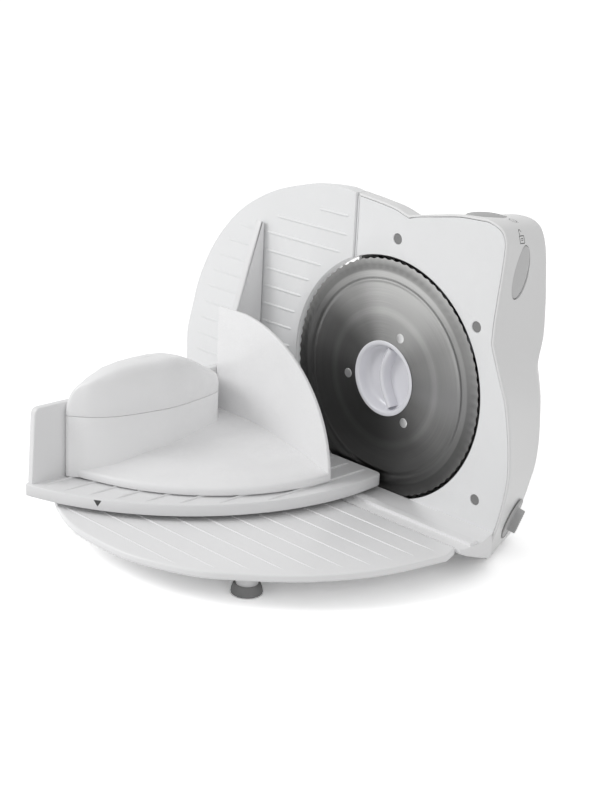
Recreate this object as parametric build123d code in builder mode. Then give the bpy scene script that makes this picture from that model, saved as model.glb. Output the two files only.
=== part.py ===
"""Electric meat slicer with a folding tray, as an assembly of separate pieces.

Every piece is placed from the blade axis, where it crosses the front plate's face. X runs to
the right along the blade, Y runs back into the housing and Z runs up.
"""

import os
from math import acos, asin, cos, degrees, pi, radians, sin, sqrt

from build123d import *

# Where the blade axis stands, from the middle of the footprint on the table
middle_front = 75.75
ground_drop = 106.0

# Blade and the round opening it fills
blade_radius = 85.0
opening_gap = 2.0
opening_radius = blade_radius + opening_gap
blade_thickness = 1.2
blade_proud = 0.3
blade_hole_radius = 25.0
bevel_width = 9.0
bevel_left = 0.4
scallop_count = 78
scallop_radius = 5.0
scallop_depth = 0.8
rivet_circle = 34.5
rivet_radius = 3.4
rivet_count = 3
rivet_turn = 68.0
rivet_head = 0.2

# Gear that carries the blade, and the worm that drives it
tooth_count = 42
gear_module = 2.0
gear_front = 18.0
gear_back = 26.0
gear_hub_radius = 10.0
gear_hub_back = 32.0
gear_flange = 3.0
gear_flange_radius = 40.0
gear_cup_wall = 3.2
gear_floor = 14.0
tooth_base_share = 1.8
tooth_middle_share = 1.2
tooth_tip_share = 0.7
root_share = 1.3
tip_share = 1.0
worm_radius = 9.0
worm_turns = 4
shaft_radius = 3.0
shaft_foot = 26.0

# Spindle and running fits
spindle_radius = 6.0
spindle_nose_radius = 3.5
spindle_nose_front = 8.2
spindle_front = 13.4
spindle_back = 57.0
run_gap = 0.05
fit_gap = 0.02
free_gap = 0.3
clear_gap = 0.5

# Cap that locks the blade, with the bar that fingers turn it by
lock_radius = 27.0
lock_front = 1.2
lock_rim = 0.8
lock_bowl_radius = 24.5
lock_wall = 2.4
lock_floor_back = 9.0
lock_floor = 2.0
lock_bar = 3.4
lock_bar_drop = 0.4
lock_boss_radius = 5.8
lock_boss_back = 13.0

# Front plate, in shares of its reach to the right and of its height above the axis
plate_reach = 114.5
plate_height = 126.0
plate_thickness = 2.5
plate_foot = 102.3
plate_left = 108.0
plate_left_top = 68.0
seam_x = 34.6
lobe_shares = [
    (-0.302, 0.978), (-0.241, 0.973), (-0.122, 0.9635), (0.0, 0.949), (0.111, 0.921),
    (0.201, 0.942), (0.349, 0.968), (0.498, 0.992), (0.646, 1.0), (0.716, 1.0),
    (0.795, 0.976), (0.830, 0.937), (0.838, 0.881), (0.830, 0.754), (0.816, 0.619),
    (0.803, 0.484), (0.802, 0.373), (0.843, 0.278), (0.891, 0.175), (0.934, 0.079),
    (0.967, -0.048), (0.987, -0.159), (1.0, -0.294), (0.992, -0.405), (0.964, -0.548),
    (0.921, -0.690),
]
plate_foot_share = 0.889
seam_low_share = 0.908
plug_radius = 3.6
plug_depth = 1.4
cup_depth = 6.5
cup_floor = 1.9
cup_radius = 5.2
bore_gap = 0.02
plug_shares = [(0.036, 0.796), (0.684, 0.444), (0.779, -0.498)]
screw_radius = 1.5
screw_head_radius = 2.7
screw_head = 2.0
screw_length = 5.4
boss_radius = 4.5
boss_gap = 0.3
short_boss_back = 10.0

# Housing behind the front plate
wall = 3.0
rim = 2.2
rim_shoulder_y = 9.5
rear_y = 50.0
housing_depth = 63.0
rear_steps_shares = [(0.62, 0.90), (1.0, 0.824)]
rear_lobe_shares = [
    (-0.302, 0.476), (-0.236, 0.492), (-0.122, 0.524), (0.0, 0.571), (0.111, 0.667),
    (0.192, 0.794), (0.288, 0.889), (0.419, 0.944), (0.541, 0.973), (0.646, 0.975),
    (0.716, 0.957), (0.762, 0.917), (0.795, 0.825), (0.817, 0.667), (0.831, 0.524),
    (0.837, 0.357), (0.816, 0.195), (0.835, 0.103), (0.859, 0.008), (0.872, -0.095),
    (0.879, -0.190), (0.879, -0.286), (0.868, -0.381), (0.847, -0.460), (0.821, -0.556),
    (0.786, -0.651),
]
rear_foot_share = 0.751
rear_foot_rise = 2.4
back_wall_shares = [(-0.445, -0.556), (-0.437, -0.317), (-0.472, 0.0), (-0.437, 0.317)]
rear_wall_shares = [(-0.440, -0.571), (-0.402, -0.317), (-0.437, 0.0), (-0.384, 0.286)]
rear_seam_share = 0.444
base_left = 110.0
rear_base_left = 107.0
base_top = 70.0
well_back = 4.5
foot_radius = 8.0
foot_socket = 2.6
housing_foot_shares = [(-0.83, 0.25), (-0.83, 0.66), (0.76, 0.25), (0.62, 0.66)]

# Motor and its bracket
motor_radius = 17.0
motor_length = 52.0
motor_start = 31.0
motor_neck_radius = 6.0
bracket_thickness = 3.0
bracket_width = 30.0
bracket_front = 15.0
bracket_flange_y = 50.0
bracket_flange_drop = 24.0
bracket_screw_spread = 18.0
bush_radius = 5.0
bush_length = 8.0
bush_start = 18.0
bearing_block = 14.0

# Top button and its switch
top_button_share = 0.55
top_button_y = 19.0
top_button_radius = 13.5
top_button_top = 126.4
top_button_dome = 1.6
top_button_flat_share = 0.6
top_flange = 1.2
top_flange_z = 115.4
top_flange_thickness = 1.8
button_stem_radius = 3.5
top_stem_foot = 113.4
button_travel = 2.5
switch_length = 20.0
switch_width = 10.0
switch_height = 9.0
plunger_radius = 1.5
plunger_height = 1.0
shelf_thickness = 3.0

# Side button and its switch
side_button_y = 20.2
side_button_z = 93.4
side_button_long = 17.6
side_button_short = 8.0
side_button_tilt = 14.0
side_button_share = 0.8297
side_button_length = 6.8
side_flange = 1.6
side_flange_edge = 1.4
side_stem_length = 6.4

# Thickness dial on the lower right flank, its cam and the follower
dial_share = 0.8559
dial_y = 33.0
dial_z = -82.0
dial_axis = (0.87, 0.35, -0.33)
dial_radius = 14.8
dial_flange = 1.6
dial_grip_radius = 9.8
dial_grip = 7.0
dial_grip_width = 5.0
dial_pocket_radius = 15.8
dial_pocket_depth = 1.8
dial_boss_wall = 2.4
dial_boss_depth = 6.6
dial_shaft_radius = 4.0
cam_distance = 14.0
cam_thickness = 6.0
cam_small_radius = 5.5
slice_max = 15.0
dial_turn = 300.0
cam_dwell = 12.0
cam_return = 28.0
cam_points = 31
peg_radius = 2.2
peg_inner = 20.0
peg_outer = 0.5

# Stop plate left of the blade
stop_reach = 209.7
stop_height = 126.6
stop_proud = 1.8
stop_foot = 66.0
stop_thickness = 3.0
stop_seam_x = 35.2
stop_flange_depth = 9.0
stop_flange_width = 2.4
stop_edge_shares = [
    (-0.227, 1.0), (-0.340, 0.984), (-0.435, 0.955), (-0.558, 0.888), (-0.681, 0.780),
    (-0.780, 0.645), (-0.870, 0.462), (-0.936, 0.254), (-0.969, 0.080), (-1.0, -0.127),
    (-0.998, -0.3025), (-0.985, -0.431),
]
stop_foot_share = 0.965
stop_seam_share = 0.99
rib_spacing = 13.5
rib_first = 107.5
rib_count = 13
rib_width = 1.2
rib_height = 0.6
rib_arc_gap = 6.5
rib_top_right = 45.0
rib_middle_shares = (-0.265, -0.214)
rib_reach_share = 1.077

# Carrier behind the stop plate, with its guide pins and the arm to the cam
carrier_left = 104.0
carrier_right = 76.0
carrier_top = -48.0
carrier_foot = -96.4
carrier_thickness = 4.0
carrier_screw_shares = [0.25, 0.75]
carrier_screw_skin = 1.0
pin_radius = 4.0
pin_length = 29.5
pin_z = -85.0
pin_shares = [0.3, 0.8]
bar_top = -89.5
bar_foot = -95.4
bar_depth = 5.0
arm_left = 59.0
arm_right = 70.0
arm_back = 36.0
arm_top = -66.0
arm_foot = -92.0
guide_rib_y = 29.5
guide_rib = 4.0
slot_margin = 2.0

# Ledge in front of the housing, which the carriage slides on
ledge_top = -81.0
ledge_depth = 38.0
ledge_foot = -99.0
ledge_left = 118.0
ledge_wall = 3.0
ledge_lip = 3.5
ledge_end_shares = [
    (0.937, 0.0), (0.957, 0.19), (0.978, 0.40), (0.989, 0.61), (0.992, 0.92), (0.970, 1.0),
]
rail_front = 29.0
rail_back = 21.7
rail_height = 2.0
ledge_screw_z = -90.5
ledge_screw_shares = [-0.40, 0.22, 0.80]
ledge_boss_depth = 12.0
mark_slot_shares = [0.297, 0.687, 0.809]
mark_slot_width = 3.0
mark_slot_height = 1.8
mark_slot_drop = 0.8

# Folding tray, its hinge and its feet
tray_x = -45.0
tray_reach = 157.0
tray_front = 214.5
tray_shares = [
    (0.0, 1.0), (0.218, 0.985), (0.451, 0.917), (0.585, 0.838), (0.781, 0.681), (0.926, 0.480),
    (1.0, 0.243),
]
tray_back_share = 0.971
tray_top = -80.8
tray_thickness = 5.2
tray_arm_top = -85.95
tray_arm_reach = 5.0
tray_edge_y = -38.8
hinge_y = -32.0
hinge_z = -88.0
hinge_pin_radius = 2.0
hinge_pin_length = 20.0
knuckle_width = 10.0
knuckle_radius = 3.4
ear_width = 4.0
ear_radius = 4.4
hinge_shares = [-0.55, 0.46]
tray_foot_x = 33.5
tray_foot_y = -155.0
tray_foot_radius = 10.5
tray_foot_rubber = 7.0
stem_radius = 8.0

# Carriage
carriage_left = -130.0
carriage_back = -2.5
carriage_top = -68.5
carriage_depth = 8.4
carriage_skin = 3.0
carriage_rim_x = -179.0
carriage_rim_y = -32.0
carriage_rim_radius = 188.0
carriage_corner = 5.0
wall_thickness = 6.0
wall_top = -15.0
wall_front = -207.0
wall_corner = 5.0
fin_reach = 41.0
fin_height = 103.5
fin_shares = [
    (1.0, 0.01), (0.678, 0.386), (0.537, 0.560), (0.410, 0.725), (0.263, 0.889),
    (0.159, 1.0), (0.090, 0.990),
]
fin_back_share = 0.966
wall_back = -3.0
glide_wall = 2.4
runner_x = -109.0
runner_y = -145.0
runner_length = 18.0
runner_width = 10.0

# Food holder
pusher_left = -122.9
pusher_foot = -68.2
pusher_floor_x = -137.0
pusher_floor_y = -43.6
pusher_floor_radius = 136.0
pusher_skin = 3.0
dome_height = 22.7
floor_shares = [
    (0.37, 0.99), (0.55, 0.89), (0.66, 0.758), (0.79, 0.626), (0.88, 0.471), (0.978, 0.339),
    (1.0, 0.273),
]
plate_x = -104.8
plate_z = -69.9
plate_radius = 101.75
plate_top = 31.5
pusher_plate = 3.0
plate_front = -47.0
block_seam = -23.7
block_front = 183.0
block_width = 31.8
block_shares = [
    (0.0, 1.0), (0.107, 1.002), (0.255, 0.981), (0.425, 0.954), (0.563, 0.922), (0.704, 0.880),
    (0.802, 0.833), (0.877, 0.781), (0.940, 0.716), (1.0, 0.647), (0.987, 0.563),
    (0.921, 0.489), (0.862, 0.426), (0.758, 0.366), (0.72, 0.30), (0.0, 0.30),
]
tongue_height = 6.0
tongue_z = -45.0
tongue_depth = 1.5
tongue_gap = 0.4
tongue_front = -170.0
tongue_back = -60.0
cap_shares = [
    (1.0, 0.27), (0.985, 0.40), (0.93, 0.60), (0.85, 0.84), (0.76, 0.97), (0.68, 1.0),
    (0.60, 0.94), (0.50, 0.73), (0.40, 0.47), (0.33, 0.30), (0.28, 0.24),
]
cap_height = 34.0
cap_joint = 0.15

# Cable gland, where the cord would leave
gland_x = 30.0
gland_z = -56.0
gland_radius = 5.0
gland_bore = 3.2
gland_flange = 3.0
gland_flange_radius = 7.5

dial_x = plate_reach * dial_share
top_button_x = plate_reach * top_button_share
side_button_face = plate_reach * side_button_share
side_flange_x = side_button_face - side_button_length
side_stem_x = side_flange_x - side_stem_length
rib_arc_radius = opening_radius + rib_arc_gap

blade_x = (stop_reach - plate_reach - rim) / 2
proud_y = -stop_proud
plate_y = middle_front
blade_z = ground_drop


def front_view(depth=0.0):
    """Plane along the front plate, so far behind its face; its normal points forward."""
    return Plane(origin=(blade_x, plate_y + depth, blade_z), x_dir=(1, 0, 0), z_dir=(0, -1, 0))


def plan_view(height):
    """Level plane at a height from the blade axis."""
    return Plane(origin=(blade_x, plate_y, blade_z + height))


def side_view(reach):
    """Upright plane across the blade at a distance right of its axis."""
    return Plane(origin=(blade_x + reach, plate_y, blade_z), x_dir=(0, 1, 0), z_dir=(1, 0, 0))


def shaped(shares, reach, height):
    """Outline points from their shares of a reach and a height."""
    return [(reach * across, height * up) for across, up in shares]


def inset(points, amount):
    """Closed outline, given clockwise, moved inward by an amount along each edge's normal."""
    moved = []
    for index, (x, y) in enumerate(points):
        before_x, before_y = points[index - 1]
        after_x, after_y = points[(index + 1) % len(points)]
        first = Vector(x - before_x, y - before_y).normalized()
        second = Vector(after_x - x, after_y - y).normalized()
        middle = Vector(first.Y + second.Y, -first.X - second.X).normalized()
        slant = middle.dot(Vector(first.Y, -first.X))
        moved.append((x + middle.X * amount / slant, y + middle.Y * amount / slant))
    return moved


def block(low, high):
    """Box between two corners given from the blade axis."""
    sizes = [high[axis] - low[axis] for axis in range(3)]
    corner = Pos(blade_x + low[0], plate_y + low[1], blade_z + low[2])
    return corner * Box(*sizes, align=(Align.MIN, Align.MIN, Align.MIN), mode=Mode.PRIVATE)


def rod(plane, radius, start, end):
    """Cylinder along a plane's normal, from a start to an end distance."""
    upward = (Align.CENTER, Align.CENTER, Align.MIN)
    return plane.offset(start) * Cylinder(radius, end - start, align=upward, mode=Mode.PRIVATE)


def save(builder, name):
    """Label a finished piece and write it."""
    builder.part.label = name
    export_step(builder.part, f"parts/{name}.step")


os.makedirs("parts", exist_ok=True)

# Outlines of the housing at its front and at its rear
plate_right = shaped(lobe_shares, plate_reach, plate_height)
plate_right.append((plate_reach * plate_foot_share, -plate_foot))
rear_right = shaped(rear_lobe_shares, plate_reach, plate_height)
rear_right.append((plate_reach * rear_foot_share, rear_foot_rise - plate_foot))
front_left = [(-base_left, -plate_foot), (-base_left, -base_top)]
front_left += shaped(back_wall_shares, plate_reach, plate_height)
front_left.append((-seam_x, opening_radius * seam_low_share))
rear_left = [(-rear_base_left, rear_foot_rise - plate_foot), (-rear_base_left, -base_top)]
rear_left += shaped(rear_wall_shares, plate_reach, plate_height)
rear_left.append((-seam_x, plate_height * rear_seam_share))

# Housing outlines, a rim wider than the front plate, at its face, its shoulder and its rear
grown = inset(plate_right + front_left, -rim)[: len(plate_right)]
front_right = [(max(x, -seam_x), max(z, -plate_foot)) for x, z in grown]
front_right[0] = (-seam_x, plate_right[0][1] + rim)
lobe_points = 5
front_outline = front_right + front_left
rear_outline = rear_right + rear_left
shoulder_share = rim_shoulder_y / rear_y
shoulder_outline = []
for index, (ahead, behind) in enumerate(zip(front_outline, rear_outline)):
    blend = 0 if index < lobe_points else shoulder_share
    x = ahead[0] + (behind[0] - ahead[0]) * blend
    z = ahead[1] + (behind[1] - ahead[1]) * blend
    shoulder_outline.append((x, z))


def shrunk(points, share):
    """Outline drawn in toward its middle."""
    middle_x = sum(x for x, z in points) / len(points)
    middle_z = sum(z for x, z in points) / len(points)
    return [(middle_x + (x - middle_x) * share, middle_z + (z - middle_z) * share) for x, z in points]


# Solid form of the housing, and the hollow inside it
outer_sections = [(0, front_outline), (rim_shoulder_y, shoulder_outline), (rear_y, rear_outline)]
for depth_share, size_share in rear_steps_shares:
    depth = rear_y + (housing_depth - rear_y) * depth_share
    outer_sections.append((depth, shrunk(rear_outline, size_share)))
inner_back = outer_sections[-2][0]

with BuildPart() as housing_form:
    for depth, points in outer_sections:
        with BuildSketch(front_view(depth)):
            with BuildLine():
                Polyline(*points, close=True)
            make_face()
    loft(ruled=True)

with BuildPart() as housing_hollow:
    for depth, points in outer_sections[:-1]:
        start = max(depth, plate_thickness)
        with BuildSketch(front_view(start)):
            with BuildLine():
                Polyline(*inset(points, wall), close=True)
            make_face()
    loft(ruled=True)

# Front plate, closed with the strip under the blade and the seam left of it
plate_outline = list(plate_right)
plate_outline += [(-plate_left, -plate_foot), (-plate_left, -plate_left_top)]
strip_end = sqrt(opening_radius**2 - plate_left_top**2) - clear_gap
plate_outline.append((-strip_end, -plate_left_top))
plate_outline.append((-seam_x, sqrt(opening_radius**2 - seam_x**2) - clear_gap))
plug_places = shaped(plug_shares, plate_reach, plate_height)
ledge_screw_places = [(plate_reach * share, ledge_screw_z) for share in ledge_screw_shares]

with BuildPart() as front_plate:
    with BuildSketch(front_view(plate_thickness)):
        with BuildLine():
            Polyline(*plate_outline, close=True)
        make_face()
        Circle(opening_radius, mode=Mode.SUBTRACT)
    extrude(amount=plate_thickness)
    with BuildSketch(front_view(cup_depth)):
        with Locations(*plug_places):
            Circle(cup_radius)
    extrude(amount=cup_depth - plate_thickness)
    with BuildSketch(front_view(cup_depth - cup_floor)):
        with Locations(*plug_places):
            Circle(plug_radius + bore_gap)
    extrude(amount=cup_depth - cup_floor, mode=Mode.SUBTRACT)
    with BuildSketch(front_view(cup_depth)):
        with Locations(*plug_places):
            Circle(screw_radius + run_gap)
    extrude(amount=cup_depth, mode=Mode.SUBTRACT)
    with BuildSketch(front_view(plate_thickness)):
        with Locations(*ledge_screw_places):
            Circle(screw_radius + run_gap)
    extrude(amount=plate_thickness, mode=Mode.SUBTRACT)
save(front_plate, "front_plate")

with BuildPart() as plate_plugs:
    with BuildSketch(front_view(plug_depth)):
        with Locations(*plug_places):
            Circle(plug_radius)
    extrude(amount=plug_depth)
save(plate_plugs, "plate_plugs")

head_back = cup_depth - cup_floor
with BuildPart() as plate_screws:
    with BuildSketch(front_view(head_back)):
        with Locations(*plug_places):
            Circle(screw_head_radius)
    extrude(amount=screw_head)
    with BuildSketch(front_view(head_back)):
        with Locations(*plug_places):
            Circle(screw_radius)
    extrude(amount=-screw_length)
save(plate_screws, "plate_screws")

# Ledge and its screws from inside the housing
with BuildPart() as ledge_screws:
    with BuildSketch(front_view(plate_thickness)):
        with Locations(*ledge_screw_places):
            Circle(screw_head_radius)
    extrude(amount=-screw_head)
    with BuildSketch(front_view(plate_thickness)):
        with Locations(*ledge_screw_places):
            Circle(screw_radius)
    extrude(amount=ledge_boss_depth)
save(ledge_screws, "ledge_screws")

ledge_outline = [(plate_reach * across, -ledge_depth * forward) for across, forward in ledge_end_shares]
ledge_outline += [(-ledge_left, -ledge_depth), (-ledge_left, 0)]
hinge_places = [plate_reach * share for share in hinge_shares]
ear_reach = knuckle_width / 2 + clear_gap
rail_end = ledge_outline[2][0]
ledge_slope = [
    (0, ledge_foot),
    (-ledge_depth, ledge_top - ledge_lip),
    (-ledge_depth - ledge_wall, ledge_top - ledge_lip),
    (-ledge_depth - ledge_wall, ledge_foot),
]

with BuildPart() as ledge:
    with BuildSketch(plan_view(ledge_foot)):
        with BuildLine():
            Polyline(*ledge_outline, close=True)
        make_face()
    extrude(amount=ledge_top - ledge_foot)
    with BuildSketch(plan_view(ledge_foot)):
        with BuildLine():
            Polyline(*inset(ledge_outline, ledge_wall), close=True)
        make_face()
    extrude(amount=ledge_top - ledge_foot - ledge_wall, mode=Mode.SUBTRACT)
    with BuildSketch(side_view(-ledge_left)):
        with BuildLine():
            Polyline(*ledge_slope, close=True)
        make_face()
    extrude(amount=2 * ledge_left, mode=Mode.SUBTRACT)
    add(block((-ledge_left, -rail_front, ledge_top), (rail_end, -rail_back, ledge_top + rail_height)))
    with BuildSketch(front_view(-ledge_wall)):
        with Locations(*ledge_screw_places):
            Circle(boss_radius)
    extrude(amount=ledge_boss_depth - ledge_wall)
    with BuildSketch(front_view(0)):
        with Locations(*ledge_screw_places):
            Circle(screw_radius + bore_gap)
    extrude(amount=ledge_boss_depth - plate_thickness + bore_gap, mode=Mode.SUBTRACT)
    for place in hinge_places:
        for side in (-1, 1):
            inner = place + side * ear_reach
            outer = inner + side * ear_width
            low = (min(inner, outer), -ledge_depth + ledge_wall, hinge_z - ear_radius)
            high = (max(inner, outer), hinge_y + ear_radius, ledge_top - ledge_wall)
            add(block(low, high))
        hinge_plane = side_view(place - hinge_pin_length / 2) * Location((hinge_y, hinge_z, 0))
        add(rod(Plane(hinge_plane), hinge_pin_radius + bore_gap, 0, hinge_pin_length), mode=Mode.SUBTRACT)
    for share in mark_slot_shares:
        low_x = plate_reach * share - mark_slot_width / 2
        high_z = ledge_top - mark_slot_drop
        low = (low_x, -ledge_depth, high_z - mark_slot_height)
        high = (low_x + mark_slot_width, -ledge_depth + ledge_wall, high_z)
        add(block(low, high), mode=Mode.SUBTRACT)
save(ledge, "ledge")

# Tray with its hinge knuckles, hinge pins and feet
tray_half = shaped(tray_shares, tray_reach, -tray_front)
tray_edge = [(tray_x - across, ahead) for across, ahead in reversed(tray_half)]
tray_edge += [(tray_x + across, ahead) for across, ahead in tray_half[1:]]
tray_back = [(tray_x + side * tray_reach * tray_back_share, tray_edge_y) for side in (1, -1)]

with BuildPart() as tray:
    with BuildSketch(plan_view(tray_top - tray_thickness)):
        with BuildLine():
            Spline(*tray_edge)
            Polyline(tray_edge[-1], tray_back[0], tray_back[1], tray_edge[0])
        make_face()
    extrude(amount=tray_thickness)
    for place in hinge_places:
        low = (place - knuckle_width / 2, tray_edge_y - tray_arm_reach, hinge_z - hinge_pin_radius)
        high = (place + knuckle_width / 2, hinge_y, tray_arm_top)
        add(block(low, high))
        knuckle_plane = Plane(side_view(place) * Location((hinge_y, hinge_z, 0)))
        add(rod(knuckle_plane, knuckle_radius, -knuckle_width / 2, knuckle_width / 2))
        reach = knuckle_width
        add(rod(knuckle_plane, hinge_pin_radius + run_gap, -reach, reach), mode=Mode.SUBTRACT)
save(tray, "tray")

with BuildPart() as hinge_pins:
    for place in hinge_places:
        pin_plane = Plane(side_view(place) * Location((hinge_y, hinge_z, 0)))
        add(rod(pin_plane, hinge_pin_radius, -hinge_pin_length / 2, hinge_pin_length / 2))
save(hinge_pins, "hinge_pins")

tray_foot_places = [(tray_foot_x, tray_foot_y), (2 * tray_x - tray_foot_x, tray_foot_y)]
tray_under = tray_top - tray_thickness
rubber_top = tray_foot_rubber - ground_drop

with BuildPart() as tray_foot_stems:
    with BuildSketch(plan_view(rubber_top)):
        with Locations(*tray_foot_places):
            Circle(stem_radius)
    extrude(amount=tray_under - rubber_top)
save(tray_foot_stems, "tray_foot_stems")

with BuildPart() as tray_foot_rubbers:
    with BuildSketch(plan_view(-ground_drop)):
        with Locations(*tray_foot_places):
            Circle(tray_foot_radius)
    extrude(amount=tray_foot_rubber)
save(tray_foot_rubbers, "tray_foot_rubbers")

# Blade with its scallops and bevel, and the rivets that join it to the gear
blade_back = blade_thickness - blade_proud
scallop_circle = blade_radius + scallop_radius - scallop_depth

with BuildPart() as blade:
    with BuildSketch(front_view(blade_back)):
        Circle(blade_radius)
        with PolarLocations(scallop_circle, scallop_count):
            Circle(scallop_radius, mode=Mode.SUBTRACT)
        Circle(blade_hole_radius, mode=Mode.SUBTRACT)
        with PolarLocations(rivet_circle, rivet_count, start_angle=rivet_turn):
            Circle(rivet_radius + bore_gap, mode=Mode.SUBTRACT)
    extrude(amount=blade_thickness)
    with BuildSketch(side_view(0)):
        with BuildLine():
            Polyline(
                (-blade_proud, blade_radius - bevel_width),
                (-blade_proud, blade_radius),
                (blade_back - bevel_left, blade_radius),
                close=True,
            )
        make_face()
    revolve(axis=Axis((blade_x, plate_y, blade_z), (0, 1, 0)), mode=Mode.SUBTRACT)
save(blade, "blade")

flange_back = blade_back + gear_flange

with BuildPart() as blade_rivets:
    with BuildSketch(front_view(flange_back)):
        with PolarLocations(rivet_circle, rivet_count, start_angle=rivet_turn):
            Circle(rivet_radius)
    extrude(amount=flange_back + blade_proud + rivet_head)
save(blade_rivets, "blade_rivets")

# Gear: a cup for the lock, a hub and a toothed disc
pitch_radius = tooth_count * gear_module / 2
gear_root = pitch_radius - root_share * gear_module
gear_tip = pitch_radius + tip_share * gear_module
cup_inner = lock_bowl_radius + free_gap + clear_gap
cup_outer = cup_inner + gear_cup_wall
tooth_half = gear_module / 2
tooth_profile = [
    (gear_root - clear_gap, tooth_base_share * tooth_half),
    (gear_root, tooth_base_share * tooth_half),
    (pitch_radius, tooth_middle_share * tooth_half),
    (gear_tip, tooth_tip_share * tooth_half),
]
tooth_profile += [(reach, -half) for reach, half in reversed(tooth_profile)]
blade_axis = Axis((blade_x, plate_y, blade_z), (0, 1, 0))

with BuildPart() as blade_gear:
    with BuildSketch(side_view(0)):
        with BuildLine():
            Polyline(
                (blade_back, cup_inner),
                (blade_back, gear_flange_radius),
                (flange_back, gear_flange_radius),
                (flange_back, cup_outer),
                (gear_front, cup_outer),
                (gear_front, gear_root),
                (gear_back, gear_root),
                (gear_back, gear_hub_radius),
                (gear_hub_back, gear_hub_radius),
                (gear_hub_back, spindle_radius + run_gap),
                (gear_floor, spindle_radius + run_gap),
                (gear_floor, cup_inner),
                close=True,
            )
        make_face()
    revolve(axis=blade_axis)
    with BuildSketch(front_view(gear_back)):
        with PolarLocations(0, tooth_count, start_angle=180 / tooth_count):
            Polygon(*tooth_profile, align=None)
    extrude(amount=gear_back - gear_front)
    with BuildSketch(front_view(flange_back)):
        with PolarLocations(rivet_circle, rivet_count, start_angle=rivet_turn):
            Circle(rivet_radius + bore_gap)
    extrude(amount=gear_flange, mode=Mode.SUBTRACT)
save(blade_gear, "blade_gear")

with BuildPart() as blade_spindle:
    with BuildSketch(front_view(spindle_back)):
        Circle(spindle_radius)
    extrude(amount=spindle_back - spindle_front)
    with BuildSketch(front_view(spindle_front)):
        Circle(spindle_nose_radius)
    extrude(amount=spindle_front - spindle_nose_front)
save(blade_spindle, "blade_spindle")

# Lock: a bowl with a raised rim, a bar across it and a boss over the spindle's nose
lock_rim_back = lock_rim - lock_front
bowl_inner = lock_bowl_radius - lock_wall

with BuildPart() as blade_lock:
    with BuildSketch(side_view(0)):
        with BuildLine():
            Polyline(
                (-lock_front, bowl_inner),
                (-lock_front, lock_radius),
                (lock_rim_back, lock_radius),
                (lock_rim_back, lock_bowl_radius),
                (lock_floor_back, lock_bowl_radius),
                (lock_floor_back, lock_boss_radius),
                (lock_boss_back, lock_boss_radius),
                (lock_boss_back, 0),
                (lock_floor_back - lock_floor, 0),
                (lock_floor_back - lock_floor, bowl_inner),
                close=True,
            )
        make_face()
    revolve(axis=blade_axis)
    bar_depth_lock = lock_front + lock_floor_back - lock_floor - lock_bar_drop
    with BuildSketch(front_view(lock_floor_back - lock_floor)):
        Rectangle(lock_bar, 2 * bowl_inner)
    extrude(amount=bar_depth_lock)
    with BuildSketch(front_view(lock_boss_back)):
        Circle(spindle_nose_radius + run_gap)
    extrude(amount=lock_boss_back - spindle_nose_front + free_gap, mode=Mode.SUBTRACT)
save(blade_lock, "blade_lock")

# Worm: left-handed, leaning by its lead angle so that its threads run along straight teeth
lead_angle = asin(gear_module / (2 * worm_radius))
worm_pitch = pi * gear_module / cos(lead_angle)
centre_distance = pitch_radius + worm_radius
worm_plane = Plane(
    origin=(blade_x + centre_distance, plate_y + (gear_front + gear_back) / 2, blade_z),
    x_dir=(-1, 0, 0),
    z_dir=(0, sin(lead_angle), cos(lead_angle)),
)
worm_half = worm_turns * worm_pitch / 2
worm_core = worm_radius - root_share * gear_module
worm_tip = worm_radius + tip_share * gear_module

with BuildPart() as upright_worm:
    with BuildLine(Plane.XY.offset(-worm_half)):
        Helix(worm_pitch, 2 * worm_half, worm_radius, lefthand=True)
    with BuildSketch(Plane(origin=(0, 0, -worm_half), x_dir=(1, 0, 0), z_dir=(0, -1, 0))):
        with BuildLine():
            Polyline(
                (worm_core - clear_gap, -tooth_base_share * tooth_half),
                (worm_core, -tooth_base_share * tooth_half),
                (worm_radius, -tooth_middle_share * tooth_half),
                (worm_tip, -tooth_tip_share * tooth_half),
                (worm_tip, tooth_tip_share * tooth_half),
                (worm_radius, tooth_middle_share * tooth_half),
                (worm_core, tooth_base_share * tooth_half),
                (worm_core - clear_gap, tooth_base_share * tooth_half),
                close=True,
            )
        make_face()
    sweep(is_frenet=True)
    add(rod(Plane.XY, worm_core, -worm_half - gear_module, worm_half + gear_module))
    add(rod(Plane.XY, shaft_radius + fit_gap, -2 * worm_half, 2 * worm_half), mode=Mode.SUBTRACT)

with BuildPart() as worm:
    add(upright_worm.part.moved(worm_plane.location))
save(worm, "worm")

# Stop plate: outline on the rim, round the blade opening and up the seam
stop_arc_steps = 14
arc_start = 180 + degrees(asin(stop_foot / opening_radius))
arc_end = 180 - degrees(acos(stop_seam_x / opening_radius))
stop_outline = [(-stop_seam_x, stop_height * stop_seam_share)]
stop_outline += shaped(stop_edge_shares, stop_reach, stop_height)
stop_outline.append((-stop_reach * stop_foot_share, -stop_foot))
for step in range(stop_arc_steps + 1):
    angle = radians(arc_start + (arc_end - arc_start) * step / stop_arc_steps)
    stop_outline.append((opening_radius * cos(angle), opening_radius * sin(angle)))
stop_outline.reverse()

stop_ribs = []
rim_x = stop_reach * rib_middle_shares[0]
rim_z = stop_height * rib_middle_shares[1]
rib_reach = stop_height * rib_reach_share
for index in range(rib_count):
    height = rib_first - index * rib_spacing
    left = rim_x - sqrt(rib_reach**2 - (height - rim_z) ** 2)
    right = -rib_top_right if height > rib_arc_radius - rib_spacing else -sqrt(rib_arc_radius**2 - height**2)
    stop_ribs.append((left, right, height))

carrier_screw_places = []
for share in carrier_screw_shares:
    across = -carrier_left + (carrier_left - carrier_right) * share
    carrier_screw_places.append((across, carrier_top - stop_flange_depth))
carrier_back = stop_thickness + carrier_thickness

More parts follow.
